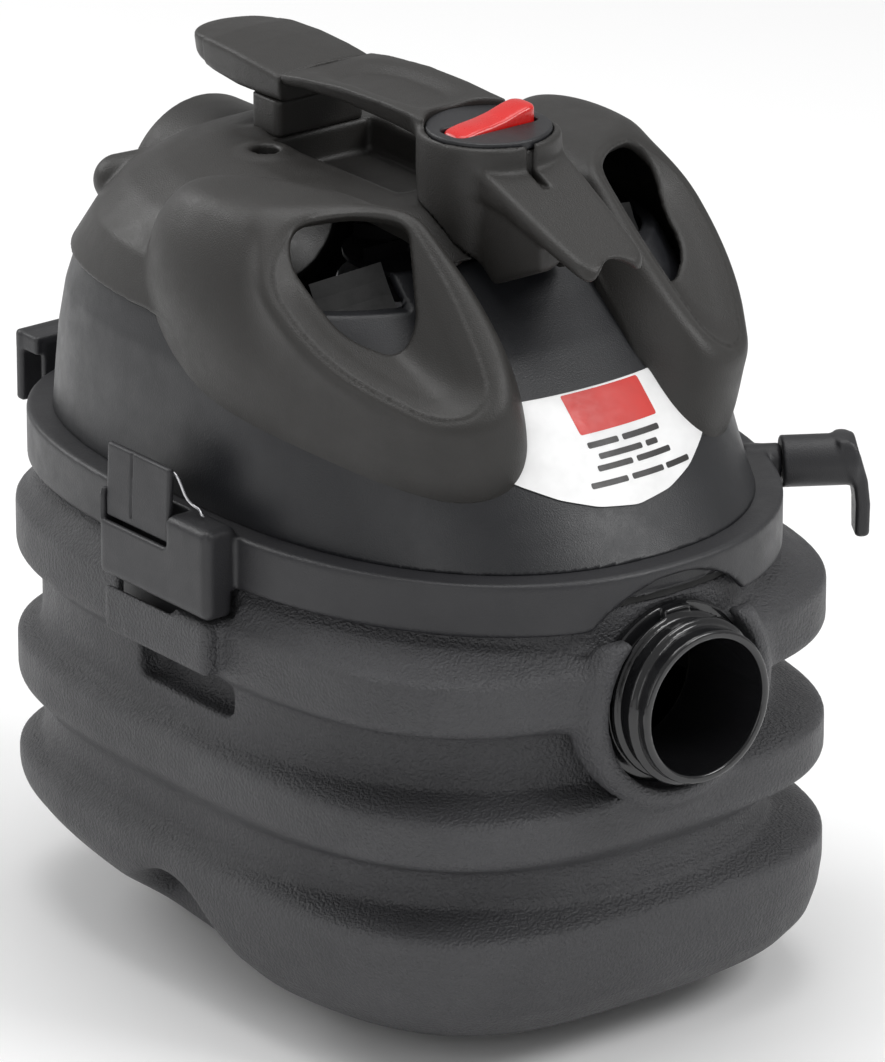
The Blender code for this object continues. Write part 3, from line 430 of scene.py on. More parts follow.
def make_materials():
    return {
        "tank": grained_plastic("tank_grain", (0.040, 0.040, 0.043),
                                (0.058, 0.058, 0.062), 0.50, 1.5, 0.55),
        "lid": grained_plastic("lid_grain", (0.017, 0.017, 0.019),
                               (0.024, 0.024, 0.027), 0.44, 0.7, 0.06),
        "cover": grained_plastic("cover_grain", (0.017, 0.016, 0.0145),
                                 (0.024, 0.0225, 0.021), 0.47, 0.7, 0.07),
        "deck": grained_plastic("deck_grain", (0.009, 0.0095, 0.0115),
                                (0.014, 0.0145, 0.017), 0.42, 0.7, 0.05),
        "gloss": plain_material("gloss_black", (0.010, 0.010, 0.011), 0.16, 0, 3.0, 0.03, 0.3),
        "red": plain_material("red_gloss", (0.62, 0.012, 0.010), 0.28, 0, 1.5, 0.02, 0.3),
        "white": plain_material("label_film", (0.84, 0.84, 0.84), 0.38, 0, 0.8, 0.008),
        "label_red": plain_material("label_red_ink", (0.60, 0.030, 0.022), 0.40, 0, 0.8, 0.008),
        "ink": plain_material("label_black_ink", (0.020, 0.018, 0.018), 0.42, 0, 0.8, 0.008),
        "steel": plain_material("bright_steel", (0.58, 0.58, 0.60), 0.28, 1.0, 0.7, 0.015),
        "blackened": plain_material("blackened_screw", (0.05, 0.05, 0.052), 0.34, 0.6, 0.7, 0.02),
        "alloy": plain_material("motor_alloy", (0.42, 0.42, 0.44), 0.42, 1.0, 0.9, 0.03),
        "rubber": grained_plastic("seal_rubber", (0.016, 0.016, 0.016),
                                  (0.024, 0.024, 0.024), 0.78, 0.7, 0.04),
        "inner": grained_plastic("inner_moulding", (0.012, 0.012, 0.013),
                                 (0.018, 0.018, 0.020), 0.5, 0.8, 0.05),
        "paper": grained_plastic("filter_paper", (0.62, 0.57, 0.45), (0.76, 0.72, 0.60), 0.9, 1.3, 0.10),
        "dark": plain_material("scoop_shadow", (0.006, 0.006, 0.006), 0.6, 0, 0.8, 0.04),
        "floor": floor_material(),
    }


MATERIALS = make_materials()


# ================================================================ tank

def tank_outer(p):
    swell, inset = rows_at(p[:, 2], TANK_PROFILE)
    plan = [low + (high - low) * swell for low, high in zip(GROOVE_PLAN, RIB_PLAN)]
    wall = plan_field(p, plan[0] - inset, plan[1] - inset, plan[2] - inset, plan[3], plan[4])
    return soft_max(wall, -p[:, 2], 1.5)


def plan_inset(plan, inset):
    return (plan[0] - inset, plan[1] - inset, plan[2] - inset, plan[3], plan[4])


def tank_body(p, folded):
    """The ribbed drum with its neck, the boss for the hose and the pads under the latches."""
    z = p[:, 2]
    drum = np.maximum(tank_outer(p), z - TANK_TOP)
    neck = plan_field(p, *plan_inset(BAND_PLAN, NECK_INSET))
    outer = soft_min(drum, np.maximum(neck, np.maximum(z - RIM_TOP, NECK_LOW - z)), 2)
    flare = BOSS_RADIUS + BOSS_FLARE * np.clip(p[:, 1] - BOSS_FACE, 0, 60)
    boss = round_field(p, INLET, (0, -1, 0), flare, 120, -BOSS_FACE, 6)
    boss = soft_max(boss, -np.minimum(plan_field(p, *plan_inset(BAND_PLAN, -1.2)), 208 - z), 3)
    outer = soft_min(outer, boss, 9)
    pad = box_field(folded, (-CATCH_OUT, POCKET_Y[0] + 2, CATCH_LOW), (-128, POCKET_Y[1] - 2, CATCH_TOP), 4)
    return soft_min(outer, pad, 3)


def finger_room(folded):
    """The hand-hold low on the tank's side."""
    arch = np.hypot((folded[:, 1] - FINGER_Y) / FINGER_HALF, folded[:, 2] / FINGER_HEIGHT)
    return soft_max((arch - 1) * FINGER_HALF, folded[:, 0] + FINGER_REACH - 0.3 * folded[:, 2], 10)


def undercut_room(p):
    """Everything below the base's sloping edge, which rises towards the rear."""
    rise = np.interp(p[:, 1], UNDERCUT_Y, UNDERCUT_RISE)
    return -(rise + 0.75 * np.minimum(plan_field(p, *RIB_PLAN), 0) - p[:, 2]) * 0.8


def tank_cavity(p, rooms):
    z = p[:, 2]
    cavity = soft_max(tank_outer(p) + 2 * TANK_WALL, 5 - z, 3)
    cavity = soft_max(cavity, plan_field(p, *plan_inset(GROOVE_PLAN, 6)), 3)
    mouth = plan_field(p, *plan_inset(BAND_PLAN, NECK_INSET + TANK_WALL))
    cavity = soft_max(cavity, mouth - 12, 2)
    for room in rooms:
        cavity = soft_max(cavity, TANK_WALL - room, 3)
    return np.where(z > NECK_JOIN, mouth, cavity)


def tank_field(p):
    folded = left_side(p)
    outer = tank_body(p, folded)
    skirt = box_field(folded, (-160, POCKET_Y[0] - 0.7, POCKET_LOW - 1.2), (-132, POCKET_Y[1] + 0.7, 218), 1)
    catch = box_field(folded, (-149.4, LEVER_Y[0] - 2, 181), (-138, LEVER_Y[1] + 2, 215), 1)
    hollow = box_field(folded, *CATCH_HOLLOW, 6)
    for room in (skirt, catch, hollow):
        outer = soft_max(outer, -room, 1.5)
    finger = finger_room(folded)
    under = undercut_room(p)
    outer = soft_max(soft_max(outer, -finger, 5), -under, 8)
    shell = soft_max(outer, -tank_cavity(p, (finger, under, hollow)), 1)
    shell = soft_max(shell, -round_field(p, INLET, (0, -1, 0), 43.2, -RECESS_FLOOR, 240), 1.6)
    return soft_max(shell, -round_field(p, INLET, (0, -1, 0), COLLAR_RADIUS + 0.6, 110, 240), 0.8)


def make_tank():
    low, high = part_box("tank")
    tank = skinned("tank_shell", tank_field, low / MM, high / MM, 2.5, MATERIALS["tank"])
    placed(tank, "tank", "tank_plastic", "tank")


# ================================================================ lid band

def band_field(p):
    """The rim band: open inside, with a ledge for the head and an arch over the boss."""
    z = p[:, 2]
    band = soft_max(plan_field(p, *BAND_PLAN), np.maximum(z - BAND_TOP, BAND_LOW - z), 2.2)
    hollow = np.where(z > LEDGE_LOW, plan_field(p, *plan_inset(BAND_PLAN, LEDGE_INSET)),
                      plan_field(p, *plan_inset(BAND_PLAN, NECK_INSET - 1.8)))
    arch = np.maximum(round_field(p, INLET, (0, -1, 0), ARCH_RADIUS, 100, 240),
                      -plan_field(p, *plan_inset(BAND_PLAN, NECK_INSET - 1.5)))
    return soft_max(soft_max(band, -hollow, 0.8), -arch, 1.5)


def pocket_field(folded):
    """The latch pocket, open below and in front for the lever."""
    low_y, high_y = LEVER_Y[0] - LEVER_GAP, LEVER_Y[1] + LEVER_GAP
    pocket = box_field(folded, (-POCKET_OUT, POCKET_Y[0], POCKET_LOW), (-133.5, POCKET_Y[1], POCKET_TOP), 4)
    shaft = box_field(folded, (-149, low_y, 190), (-137.5, high_y, 270), 0.8)
    front = box_field(folded, (-165, low_y, 226.5), (-140, high_y, 270), 1)
    pocket = soft_max(soft_max(pocket, -shaft, 1), -front, 1)
    return np.maximum(pocket, -box_field(folded, (-137.5, -60, 190), (-120, 60, BAND_LOW)))


def lid_field(p):
    post = round_field(p, HOOK_START, HOOK_DIRECTION, 8.5, -4, 12.7, 1)
    return soft_min(soft_min(band_field(p), pocket_field(left_side(p)), 1.5), post, 2)


def make_lid():
    low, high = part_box("lid_ring")
    lid = skinned("lid_band", lid_field, low / MM, high / MM, 1.8, MATERIALS["lid"])
    placed(lid, "head", "lid_plastic", "lid_ring")


# ================================================================ motor head

def housing_solid(p):
    return plan_field(p, *rows_at(p[:, 2], HOUSING_PROFILE), *HEAD_BLUNT)


def port_room(p, gap):
    return round_field(p, (0, 0, PORT_Z), (0, 1, 0), PORT_RADIUS + gap, 110, 240)


def housing_field(p):
    z = p[:, 2]
    side_top = np.where(p[:, 1] < 20, HOUSING_SIDE_TOP, PARTING_Z)
    top = z - np.where((np.abs(p[:, 0]) < PANEL_HALF) & (p[:, 1] < 0), PANEL_TOP, side_top)
    solid = housing_solid(p)
    inner = np.maximum(housing_solid(p + np.array((0, 0, 5.0))) + 3, solid + 3.6)
    shell = soft_max(soft_max(solid, -inner, 0.8), np.maximum(top, HOUSING_LOW - z), 1)
    return np.maximum(shell, -port_room(p, 0.6))


def rim_plane(p):
    """Coordinates along and across the scoop's slope, and height above the rim's plane."""
    q = p - SCOOP_CENTRE
    normal = SCOOP_NORMAL / np.linalg.norm(SCOOP_NORMAL)
    slope = SCOOP_SLOPE - normal * (SCOOP_SLOPE @ normal)
    slope /= np.linalg.norm(slope)
    return q @ slope, q @ np.cross(normal, slope), q @ normal


def rim_field(u, v):
    return corners_field(u, v, RIM_CORNERS, 14)


def pod_egg(p):
    """The turned, blunt ellipsoid that makes the back of a pod."""
    angle = np.linalg.norm(POD_TURN)
    axis = POD_TURN / angle
    q = p - POD_CENTRE
    q = (q * math.cos(angle) - np.cross(axis, q) * math.sin(angle)
         + axis * (q @ axis)[:, None] * (1 - math.cos(angle)))
    share = np.abs(q) / np.array(POD_RADII)
    size = ((share + 1e-6) ** POD_BLUNT).sum(1) ** (1 / POD_BLUNT)
    return (size - 1) * np.linalg.norm(q, axis=1) / np.maximum(size, 0.2)


def pod_solid(p):
    """A pod: the egg and the drafted nose below the scoop, cut off at the rim's plane."""
    u, v, height = rim_plane(p)
    depth = np.clip(-height, 0, 60)
    nose = corners_field(u - 0.5 * depth, v - 0.06 * depth, RIM_CORNERS, 16, 7)
    nose = soft_max(nose, -height - 70, 6)
    body = soft_max(soft_min(pod_egg(p), nose, 10), p[:, 2] - POD_TOP, 8)
    return soft_max(body, height - 0.5, 5)


def scoop_floor(rim, height):
    """Height above the scoop's dished floor."""
    return height + SCOOP_DEPTH * np.clip(-rim / SCOOP_SHOULDER, -1, 1.2)


def scoop_cut(p):
    u, v, height = rim_plane(p)
    rim = rim_field(u, v)
    return soft_max(-scoop_floor(rim, height) * 0.8, rim - 2.5, 2)


def scoop_lining(p):
    """The thin floor of the scoop."""
    u, v, height = rim_plane(p)
    rim = rim_field(u, v)
    return np.maximum(np.abs(scoop_floor(rim, height) + 1.5) - 1.5, rim - 1)


def mouth_cut(p):
    u, v, height = rim_plane(p)
    return np.maximum(corners_field(u, v, MOUTH_CORNERS, 7), -height - MOUTH_DEPTH)


def dome_solid(p):
    dome = plan_field(p, *rows_at(p[:, 2], COVER_PROFILE), *HEAD_BLUNT)
    return soft_max(dome, p[:, 2] - DOME_TOP, 10)


def cover_solid(p, folded):
    ear = round_field(folded, (SCREW_X, SCREW_Y, 330), (0, 0, 1), EAR_RADIUS, 0, 41, 4)
    dome = soft_max(dome_solid(folded), PARTING_Z + 0.4 - p[:, 2], 1.2)
    outer = soft_min(dome, pod_solid(folded), 3)
    outer = soft_min(outer, ear, 5)
    sleeve = capsule_field(folded, (-24, 92, 361), (-62, 150, 340), 12)
    return soft_min(outer, sleeve, 3)


def cover_shell(p, folded, outer):
    """The hollow cover with its scoops, their floors and mouths."""
    lifted = p + np.array((0, 0, 4.0))
    inner = np.maximum(cover_solid(lifted, left_side(lifted)) + COVER_WALL, outer + 3.4)
    shell = soft_max(outer, -inner, 0.8)
    shell = soft_max(shell, -scoop_cut(folded), 3)
    shell = soft_min(shell, np.maximum(scoop_lining(folded), outer), 1)
    return soft_max(shell, -mouth_cut(folded), 1.6)


def cover_field(p):
    folded = left_side(p)
    outer = cover_solid(p, folded)
    shell = cover_shell(p, folded, outer)
    in_housing = np.where(p[:, 2] < HOUSING_SIDE_TOP, -2.4 - housing_solid(p), -1000.0)
    shell = soft_max(shell, in_housing, 1)
    panel = np.maximum(np.maximum(np.abs(p[:, 0]) - 34, p[:, 1] + 62), p[:, 2] - 352)
    shell = np.maximum(shell, -panel)
    low, high = np.array(GRIP_LOW), np.array(GRIP_HIGH)
    lining = box_field(p, low - GRIP_LINING, (high[0] + GRIP_LINING, high[1] + GRIP_LINING, 380))
    shell = soft_min(shell, np.maximum(lining, outer), 1)
    shell = soft_max(shell, -box_field(p, low, high, 3), 3)
    shell = np.maximum(shell, -port_room(p, 1))
    column = round_field(p, (0, COLUMN_Y, 300), (0, 0, 1), 30, 0, 90)
    shell = np.maximum(shell, -column)
    return np.maximum(shell, -round_field(folded, (SCREW_X, SCREW_Y, 362), (0, 0, 1), 6.6, 0, 20))


def make_head():
    low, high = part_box("head_housing")
    high = np.array((high[0] / MM, high[1] / MM, PANEL_TOP + 3))
    housing = skinned("head_shell", housing_field, low / MM, high, 1.6, MATERIALS["deck"])
    placed(housing, "head", "panel_plastic", "head_housing", "front_panel")
    low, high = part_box("top_cover")
    high = np.array((high[0] / MM, high[1] / MM, POD_TOP + 15))
    cover = skinned("scoop_cover", cover_field, low / MM, high, 1.4, MATERIALS["cover"])
    placed(cover, "head", "cover_plastic", "top_cover")


# ================================================================ handle

def column_field(p):
    half, deep = rows_at(p[:, 2], COLUMN_PROFILE)
    shifted = p - np.array((0, COLUMN_Y, 0))
    wall = plan_field(shifted, half, deep, deep, 2.5, 2.5)
    return soft_max(wall, np.maximum(p[:, 2] - COLUMN_TOP, COLUMN_LOW - p[:, 2]), 3)


def beak_field(p):
    """A thin sloping blade over a hollowed keel."""
    x, y, z = np.abs(p[:, 0]), p[:, 1], p[:, 2]
    forward = BEAK_ROOT_Y - y
    top = (z - (BEAK_TOP - BEAK_FALL * forward)) * 0.91
    side = x - np.interp(forward, (-20, 0, 50, 80), (25, 25.5, 21, 17))
    tip = np.hypot(x * 0.7, np.maximum(forward - 58, 0)) - 19
    thick = np.interp(forward, (0, 25, 76), (14, 9, 6.5))
    blade = soft_max(soft_max(top, side, 4), soft_max(tip, -top - thick, 3), 4)
    keel = soft_max(x - (23.5 - 0.12 * forward), (336 + 0.45 * forward - z) * 0.9, 3)
    keel = soft_max(soft_max(keel, top + 3, 3), forward - 46, 4)
    beak = soft_min(blade, keel, 3)
    hollow = np.hypot(x, (z - (336 + 0.15 * forward)) * 0.8) - 15
    return soft_max(np.maximum(beak, y + 40), -soft_max(hollow, y + 68, 3), 2)


def bar_field(p):
    """The grip bar, thinner towards the rear, with a shallow dish in its top."""
    x, y, z = np.abs(p[:, 0]), p[:, 1], p[:, 2]
    half, top = rows_at(y, BAR_PROFILE)
    side = (x - half + 0.42 * (top - z)) * 0.92
    thick = np.interp(y, (-20, 20, 60, 80), (13, 10, 6.5, 6))
    bar = soft_max(soft_max(side, z - top, 2), (top - thick) - z, 3)
    bar = np.maximum(bar, np.maximum(y - 98, -44 - y))
    dip = (np.abs((y - 24) / 47) ** 3 + (x / 19.5) ** 3 + 1e-9) ** (1 / 3)
    scoop = -(z - top + 4.2 * np.clip(3 * (1 - dip), -1, 1))
    return soft_max(bar, -scoop * 0.8, 1.6)


def tail_room(p):
    return box_field(p, (-40, 74, 388.5), (40, 130, 420))


def handle_field(p):
    pillar = box_field(p, (-25, 77, 345), (25, 98.6, 392), 4)
    handle = soft_min(column_field(p), beak_field(p), 2.5)
    handle = soft_min(handle, bar_field(p), 5)
    handle = soft_min(handle, pillar, 3)
    handle = np.maximum(handle, -tail_room(p))
    seat = round_field(p, (0, COLUMN_Y, 0), (0, 0, 1), 28.9, COLUMN_TOP - 3.6, 430)
    handle = soft_max(handle, -seat, 0.8)
    slot = box_field(p, (-1.9, -88, 386), (1.9, -72, 420), 1)
    handle = soft_max(handle, -np.maximum(slot, p[:, 1] + 74), 1)
    well = box_field(p, (-25, COLUMN_Y - 12, 352), (25, COLUMN_Y + 12, 410))
    handle = np.maximum(handle, -well)
    return np.maximum(handle, -(dome_solid(p) - 0.5))


def cap_field(p):
    x, y, z = np.abs(p[:, 0]), p[:, 1], p[:, 2]
    half, top, low = rows_at(y, CAP_PROFILE)
    side = x - half + 0.10 * (top - z)
    end = np.hypot(x, np.maximum(y - CAP_END_Y, 0)) - CAP_END_RADIUS + 0.12 * (top - z)
    end = np.where(y > CAP_END_Y, end, -100)
    arch = 2 * (x / CAP_HALF) ** 2
    body = soft_max(soft_max(np.maximum(side, end), z - top + arch, 3), low - z + arch, 4)
    body = np.maximum(body, CAP_FRONT - y)
    return np.maximum(body, -box_field(p, (-40, 60, 370), (40, 99.2, 388.9)))


def make_handle():
    low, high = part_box("handle")
    handle = skinned("carry_handle", handle_field, low / MM, high / MM, 1.3, MATERIALS["cover"])
    placed(handle, "head", "cover_plastic", "handle")
    low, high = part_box("handle_cap")
    cap = skinned("rear_cap", cap_field, low / MM, high / MM, 1.3, MATERIALS["cover"])
    placed(cap, "head", "cover_plastic", "handle_cap")


# ================================================================ hose collar and blower port

def collar_field(p):
    q = p - np.array(INLET)
    along = -q[:, 1]
    radius = np.hypot(q[:, 0], q[:, 2])
    turns = (along - 178) / THREAD_PITCH - np.arctan2(q[:, 2], q[:, 0]) / (2 * math.pi)
    offset = (turns - np.round(turns)) * THREAD_PITCH
    ridge = THREAD_HEIGHT * np.clip(1.6 - np.abs(offset) / 1.3, 0, 1)
    ridge = ridge * np.clip((along - 177) / 2, 0, 1) * np.clip((199 - along) / 3, 0, 1)
    ends = np.maximum(along + COLLAR_FACE, 150 - along)
    barrel = soft_max((radius - COLLAR_RADIUS - ridge) * 0.8, ends, 1.2)
    flange = round_field(p, INLET, (0, -1, 0), 42.4, 174.4, 178, 0.8)
    lugs = np.maximum(round_field(p, INLET, (0, -1, 0), 41.5, 177, 181.5, 0.8), np.abs(q[:, 0]) - 7)
    solid = soft_min(soft_min(barrel, flange, 1.5), lugs, 1)
    return soft_max(solid, BORE - radius, 1.2)


def port_field(p):
    barrel = round_field(p, (0, 0, PORT_Z), (0, 1, 0), PORT_RADIUS, 121, 172.8, 2.5)
    tail = round_field(p, (0, 0, PORT_Z), (0, 1, 0), PORT_RADIUS - 3, 108.2, 125)
    lip = round_field(p, (0, 0, PORT_Z), (0, 1, 0), PORT_RADIUS - 6, 171, 240, 1)
    solid = soft_max(soft_min(barrel, tail, 1), -lip, 1)
    return soft_max(solid, -round_field(p, (0, 0, PORT_Z), (0, 1, 0), BORE, 90, 240), 1)


def make_collars():
    low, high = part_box("inlet_collar")
    collar = skinned("hose_collar", collar_field, low / MM, high / MM, 1.0, MATERIALS["gloss"])
    placed(collar, "tank", "gloss_plastic", "inlet_collar")
    low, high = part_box("blower_port")
    port = skinned("port_barrel", port_field, low / MM, high / MM, 1.6, MATERIALS["cover"])
    placed(port, "head", "cover_plastic", "blower_port")


# ================================================================ latches

def lever_field(p):
    folded = left_side(p)
    low_y, high_y = LEVER_Y
    lean = 0.045 * np.clip(folded[:, 2] - 236, 0, 60)
    shifted = folded - np.stack([lean, 0 * lean, 0 * lean], 1)
    plate = box_field(shifted, (-149.9, low_y + 0.1, 228), (-146.6, high_y - 0.1, 262.9), 1.3)
    groove = box_field(shifted, (-152, 22.4, 232), (-149.3, 23.6, 270))
    plate = soft_max(plate, -groove, 0.4)
    hub = box_field(folded, (-147.5, low_y + 0.4, 226.6), (-138.9, high_y - 0.4, 235.8), 1.5)
    arm = box_field(folded, (-141.4, low_y + 0.4, 184.1), (-138.9, high_y - 0.4, 230), 1)
    barb = box_field(folded, (-142.8, low_y + 0.4, 184.1), (-139, high_y - 0.4, 188), 1)
    foot = soft_min(soft_min(hub, arm, 1), barb, 0.6)
    lever = soft_min(plate, foot, 1)
    return np.maximum(lever, -round_field(folded, (-143, 0, 231), (0, 1, 0), 1.8, -20, 60))


def tube(name, points, radius, material):
    """A smooth wire through the given points (mm), with rounded ends."""
    curve = bpy.data.curves.new(name, "CURVE")
    curve.dimensions = "3D"
    curve.bevel_depth = radius * MM
    curve.bevel_resolution = 4
    curve.use_fill_caps = True
    spline = curve.splines.new("NURBS")
    spline.points.add(len(points) - 1)
    for point, spot in zip(spline.points, points):
        point.co = (*(c * MM for c in spot), 1)
    spline.use_endpoint_u = True
    spline.order_u = 4
    spline.resolution_u = 8
    curve.materials.append(material)
    piece = bpy.data.objects.new(name, curve)
    bpy.context.scene.collection.objects.link(piece)
    return piece


def make_latches():
    for side, label in ((-1, "left"), (1, "right")):
        low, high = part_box("latch_" + label)
        lever = skinned("latch_lever_" + label, lever_field, low / MM, high / MM, 0.9, MATERIALS["lid"])
        placed(lever, "latch_" + label, "lid_plastic", "latch_" + label)
        route = [(side * x, y, z) for x, y, z in LATCH_WIRE]
        spring = tube("latch_wire_" + label, route, WIRE_RADIUS, MATERIALS["steel"])
        placed(spring, "head", "steel", "latch_spring_" + label)


# ================================================================ switch and label

def bezel_field(p):
    disc = round_field(p, (0, COLUMN_Y, 0), (0, 0, 1), 28.4, COLUMN_TOP - 3.1, COLUMN_TOP + 1.4, 1)
    opening = box_field(p, (-23.4, COLUMN_Y - 8.5, 380), (23.4, COLUMN_Y + 8.5, 430), 5)
    return soft_max(disc, -opening, 0.8)


def rocker_field(p):
    x, y, z = p[:, 0], p[:, 1] - COLUMN_Y, p[:, 2]
    top = rows_at(x, ROCKER_TOP)[0]
    outline = box_field(np.stack([x, y, 0 * x], 1), (-21.9, -7.9, -9), (21.9, 7.9, 9), 5)
    low = 399 + 0.16 * np.clip(x, -22, 22)
    body = soft_max(soft_max(outline, z - top + 0.012 * y ** 2, 1.8), low - z, 1)
    tongue = box_field(p, (-3, COLUMN_Y - 6, 384.2), (3, COLUMN_Y + 6, 401), 1)
    return soft_min(body, tongue, 1)


def on_front(x, z, offset):
    """Points on the head's sloping front, lifted off it by the offset."""
    half, front, _ = rows_at(z, HOUSING_PROFILE)
    blunt = HEAD_BLUNT[0]
    y = -front * (1 - (np.abs(x) / half) ** blunt) ** (1 / blunt)
    return np.stack([x, y - offset, z], 1)


def patch(name, outline, offset, material, rings=8, thick=0.5):
    """A thin sheet with the given (x, z) outline laid on the head's front."""
    outline = np.array(outline, float)
    centre = outline.mean(0)
    count = len(outline)
    shares = [1 - ring / rings for ring in range(rings)]
    flat = np.concatenate([centre + (outline - centre) * share for share in shares] + [centre[None]])
    top = on_front(flat[:, 0], flat[:, 1], offset + thick)
    skirt = on_front(outline[:, 0], outline[:, 1], offset)
    points = np.concatenate([top, skirt])
    faces = []
    for ring in range(rings - 1):
        here, inward = ring * count, (ring + 1) * count
        for i in range(count):
            j = (i + 1) % count
            faces.append((here + i, inward + i, inward + j, here + j))
    last, middle, base = (rings - 1) * count, rings * count, rings * count + 1
    for i in range(count):
        j = (i + 1) % count
        faces.append((last + i, middle, last + j))
        faces.append((i, j, base + j, base + i))
    piece = add_mesh(name, points, faces, material)
    work = bmesh.new()
    work.from_mesh(piece.data)
    bmesh.ops.recalc_face_normals(work, faces=work.faces)
    work.to_mesh(piece.data)
    work.free()
    piece.data.set_sharp_from_angle(angle=math.radians(40))
    return piece


def rounded_outline(corners, radius, steps=6):
    """Corners of an outline replaced by short curves, and its long edges divided."""
    points = []
    corners = [np.array(corner, float) for corner in corners]
    for before, corner, after in zip(corners[-1:] + corners[:-1], corners, corners[1:] + corners[:1]):
        back, ahead = before - corner, after - corner
        start = corner + back * min(radius / np.linalg.norm(back), 0.5)
        end = corner + ahead * min(radius / np.linalg.norm(ahead), 0.5)
        for step in range(steps + 1):
            t = step / steps
            points.append(start * (1 - t) ** 2 + corner * 2 * t * (1 - t) + end * t ** 2)
    dense = []
    for here, after in zip(points, points[1:] + points[:1]):
        parts = max(1, math.ceil(np.linalg.norm(after - here) / 2.5))
        dense.extend(here + (after - here) * k / parts for k in range(parts))
    return dense


def make_label():
    outline = [(x, z) for x, z in LABEL_HALF] + [(-x, z) for x, z in LABEL_HALF[-2::-1]]
    label = patch("label_sheet", rounded_outline(outline[::-1], 3), 0.5, MATERIALS["white"], 14)
    placed(label, "head", "label", "nameplate")
    block = patch("label_block", rounded_outline(LABEL_BLOCK, 1.2), 1.0, MATERIALS["label_red"], 6, 0.12)
    placed(block, "head", "label")
    for row, (z, *spans) in enumerate(LABEL_DASHES):
        for part, (start, end) in enumerate(spans):
            low, high = z - DASH_HALF_HEIGHT, z + DASH_HALF_HEIGHT
            outline = rounded_outline(((start, high), (end, high), (end, low), (start, low)), 0.8, 3)
            dash = patch(f"label_dash_{row}_{part}", outline, 1.0, MATERIALS["ink"], 3, 0.12)
            placed(dash, "head", "label")


def make_switch():
    low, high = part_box("switch_bezel")
    bezel = skinned("switch_plate", bezel_field, low / MM, high / MM, 1.0, MATERIALS["deck"])
    placed(bezel, "head", "panel_plastic", "switch_bezel")
    low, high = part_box("rocker")
    rocker = skinned("rocker_button", rocker_field, low / MM, high / MM, 0.8, MATERIALS["red"])
    placed(rocker, "rocker", "red_plastic", "rocker")


# ================================================================ hooks and screws

def hook_field(p):
    q = p - HOOK_START
    along = q @ HOOK_DIRECTION
    across = q @ np.array((-HOOK_DIRECTION[1], HOOK_DIRECTION[0], 0))
    rise = q[:, 2]
    sleeve = round_field(p, HOOK_START, HOOK_DIRECTION, 12, 13.1, 47, 0.8)
    middle = np.interp(rise, (-38, -20, -8, 4, 12), (50.5, 50.5, 49, 45.5, 41.5))
    width = np.interp(rise, (-38, -20, 0, 12), (6.4, 8.6, 11.0, 9.0))
    blade = soft_max(np.abs(along - middle) - 3.4, np.abs(across) - width, 2)
    blade = soft_max(blade, np.maximum(rise - 11.9, -36.8 - rise), 3)
    solid = soft_min(sleeve, blade, 3)
    return np.maximum(solid, -round_field(p, HOOK_START, HOOK_DIRECTION, 5.4, 0, 39))


def rear_hook_field(p):
    arm = box_field(p, (-71.9, 204, 240), (-40.1, 220, 248.9), 1.8)
    foot = box_field(p, (-68, 203.5, 222), (-44, 207, 246), 1)
    plate = box_field(p, (-71.9, 216, 214.1), (-40.1, 221.9, 248.9), 2)
    return soft_min(soft_min(arm, foot, 2), plate, 2)


def screw_field(p):
    folded = left_side(p)
    q = folded - np.array((SCREW_X, SCREW_Y, 0))
    head = round_field(folded, (SCREW_X, SCREW_Y, 0), (0, 0, 1), 5.9, 362.6, 367.6, 1.2)
    socket = np.full(len(p), -1e3)
    for k in range(3):
        angle = math.pi * k / 3
        socket = np.maximum(socket, np.abs(q[:, 0] * math.cos(angle) + q[:, 1] * math.sin(angle)) - 2.3)
    return soft_max(head, -np.maximum(socket, 364.5 - p[:, 2]), 0.4)


def make_hooks_and_screws():
    low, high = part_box("cord_hook")
    hook = skinned("swivel_hook", hook_field, low / MM, high / MM, 1.1, MATERIALS["lid"])
    placed(hook, "cord_hook", "lid_plastic", "cord_hook")
    low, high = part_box("rear_hook")
    rear = skinned("back_hook", rear_hook_field, low / MM, high / MM, 1.1, MATERIALS["lid"])
    placed(rear, "head", "lid_plastic", "rear_hook")
    for label in ("left", "right"):
        low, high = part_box("cover_screw_" + label)
        screw = skinned("ear_screw_" + label, screw_field, low / MM, high / MM, 0.45, MATERIALS["blackened"])
        placed(screw, "head", "steel", "cover_screw_" + label)


# ================================================================ pieces kept from the model

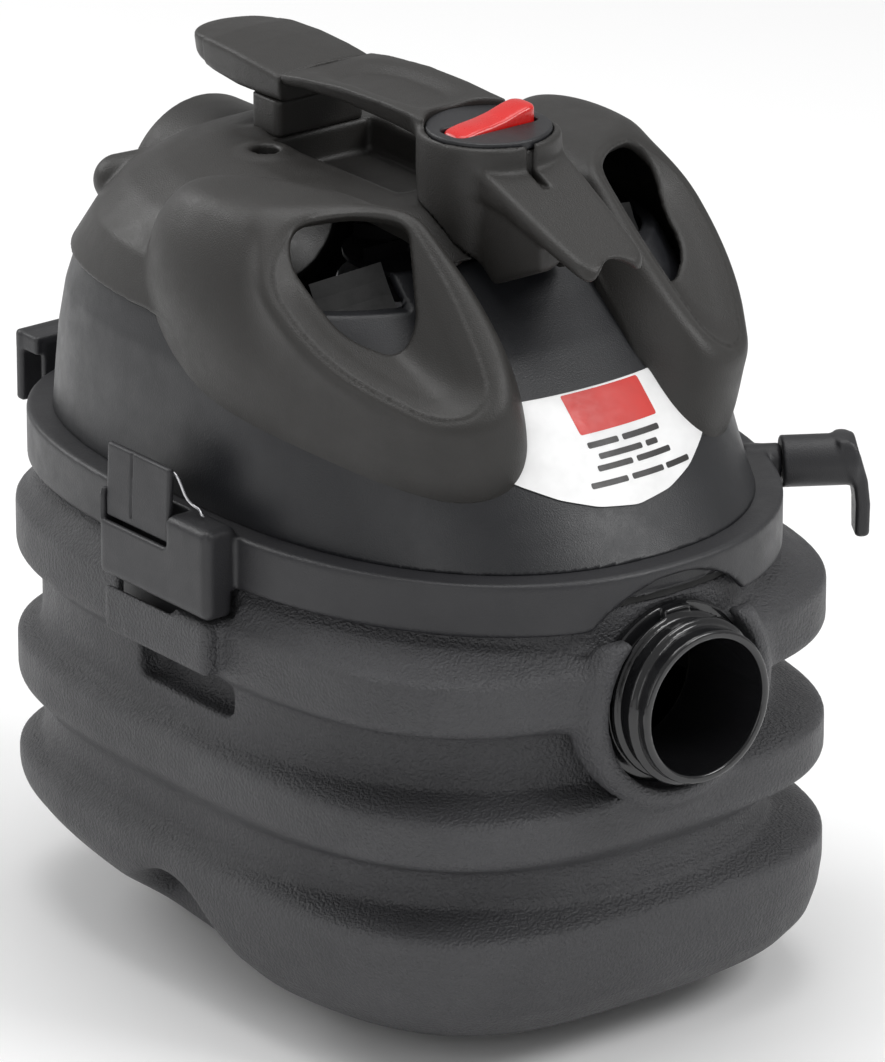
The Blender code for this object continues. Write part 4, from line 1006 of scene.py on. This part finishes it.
KEPT = {"inner": ("inlet_nut", "inlet_deflector", "motor_deck", "impeller", "cooling_fan", "fan_housing",
                  "filter_cage", "switch_body"),
        "dark": ("scoop_baffle_left", "scoop_baffle_right"),
        "steel": ("motor_shaft", "motor_bearing_lower", "motor_bearing_upper", "latch_pin_left",
                  "latch_pin_right"),
        "alloy": ("motor_can",),
        "rubber": ("lid_seal",),
        "red": ("float_ball",),
        "paper": ("filter_cartridge",)}


def finish_kept_nodes():
    for material, names in KEPT.items():
        for name in names:
            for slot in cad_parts[name].material_slots:
                slot.material = MATERIALS[material]


# ================================================================ studio

def make_studio():
    bpy.ops.mesh.primitive_plane_add(size=12, location=(0, 0, -0.0002))
    floor = bpy.context.object
    floor.name = "studio_floor"
    floor.data.materials.append(MATERIALS["floor"])
    world = bpy.data.worlds.new("studio")
    bpy.context.scene.world = world
    bpy.context.scene.view_settings.view_transform = "Standard"
    world.use_nodes = True
    world.node_tree.nodes["Background"].inputs["Color"].default_value = (1, 1, 1, 1)
    world.node_tree.nodes["Background"].inputs["Strength"].default_value = WORLD_LIGHT
    for name, spot, size, power in LAMPS:
        light = bpy.data.lights.new(name, "AREA")
        light.size = size
        light.energy = power
        lamp = bpy.data.objects.new(name, light)
        lamp.location = spot
        lamp.rotation_euler = (Vector((0, 0, 0.2)) - Vector(spot)).to_track_quat("-Z", "Y").to_euler()
        bpy.context.scene.collection.objects.link(lamp)


def make_camera():
    data = bpy.data.cameras.new("camera")
    data.sensor_width = CAMERA_SENSOR
    data.lens = CAMERA_LENS
    camera = bpy.data.objects.new("camera", data)
    camera.location = CAMERA_SPOT
    aim = Vector(CAMERA_AIM) - camera.location
    camera.rotation_euler = aim.to_track_quat("-Z", "Y").to_euler()
    bpy.context.scene.collection.objects.link(camera)
    bpy.context.scene.camera = camera


# ================================================================ build


def main():
    make_camera()
    make_studio()
    make_tank()
    make_lid()
    make_head()
    make_handle()
    make_collars()
    make_latches()
    make_switch()
    make_label()
    make_hooks_and_screws()
    finish_kept_nodes()


main()
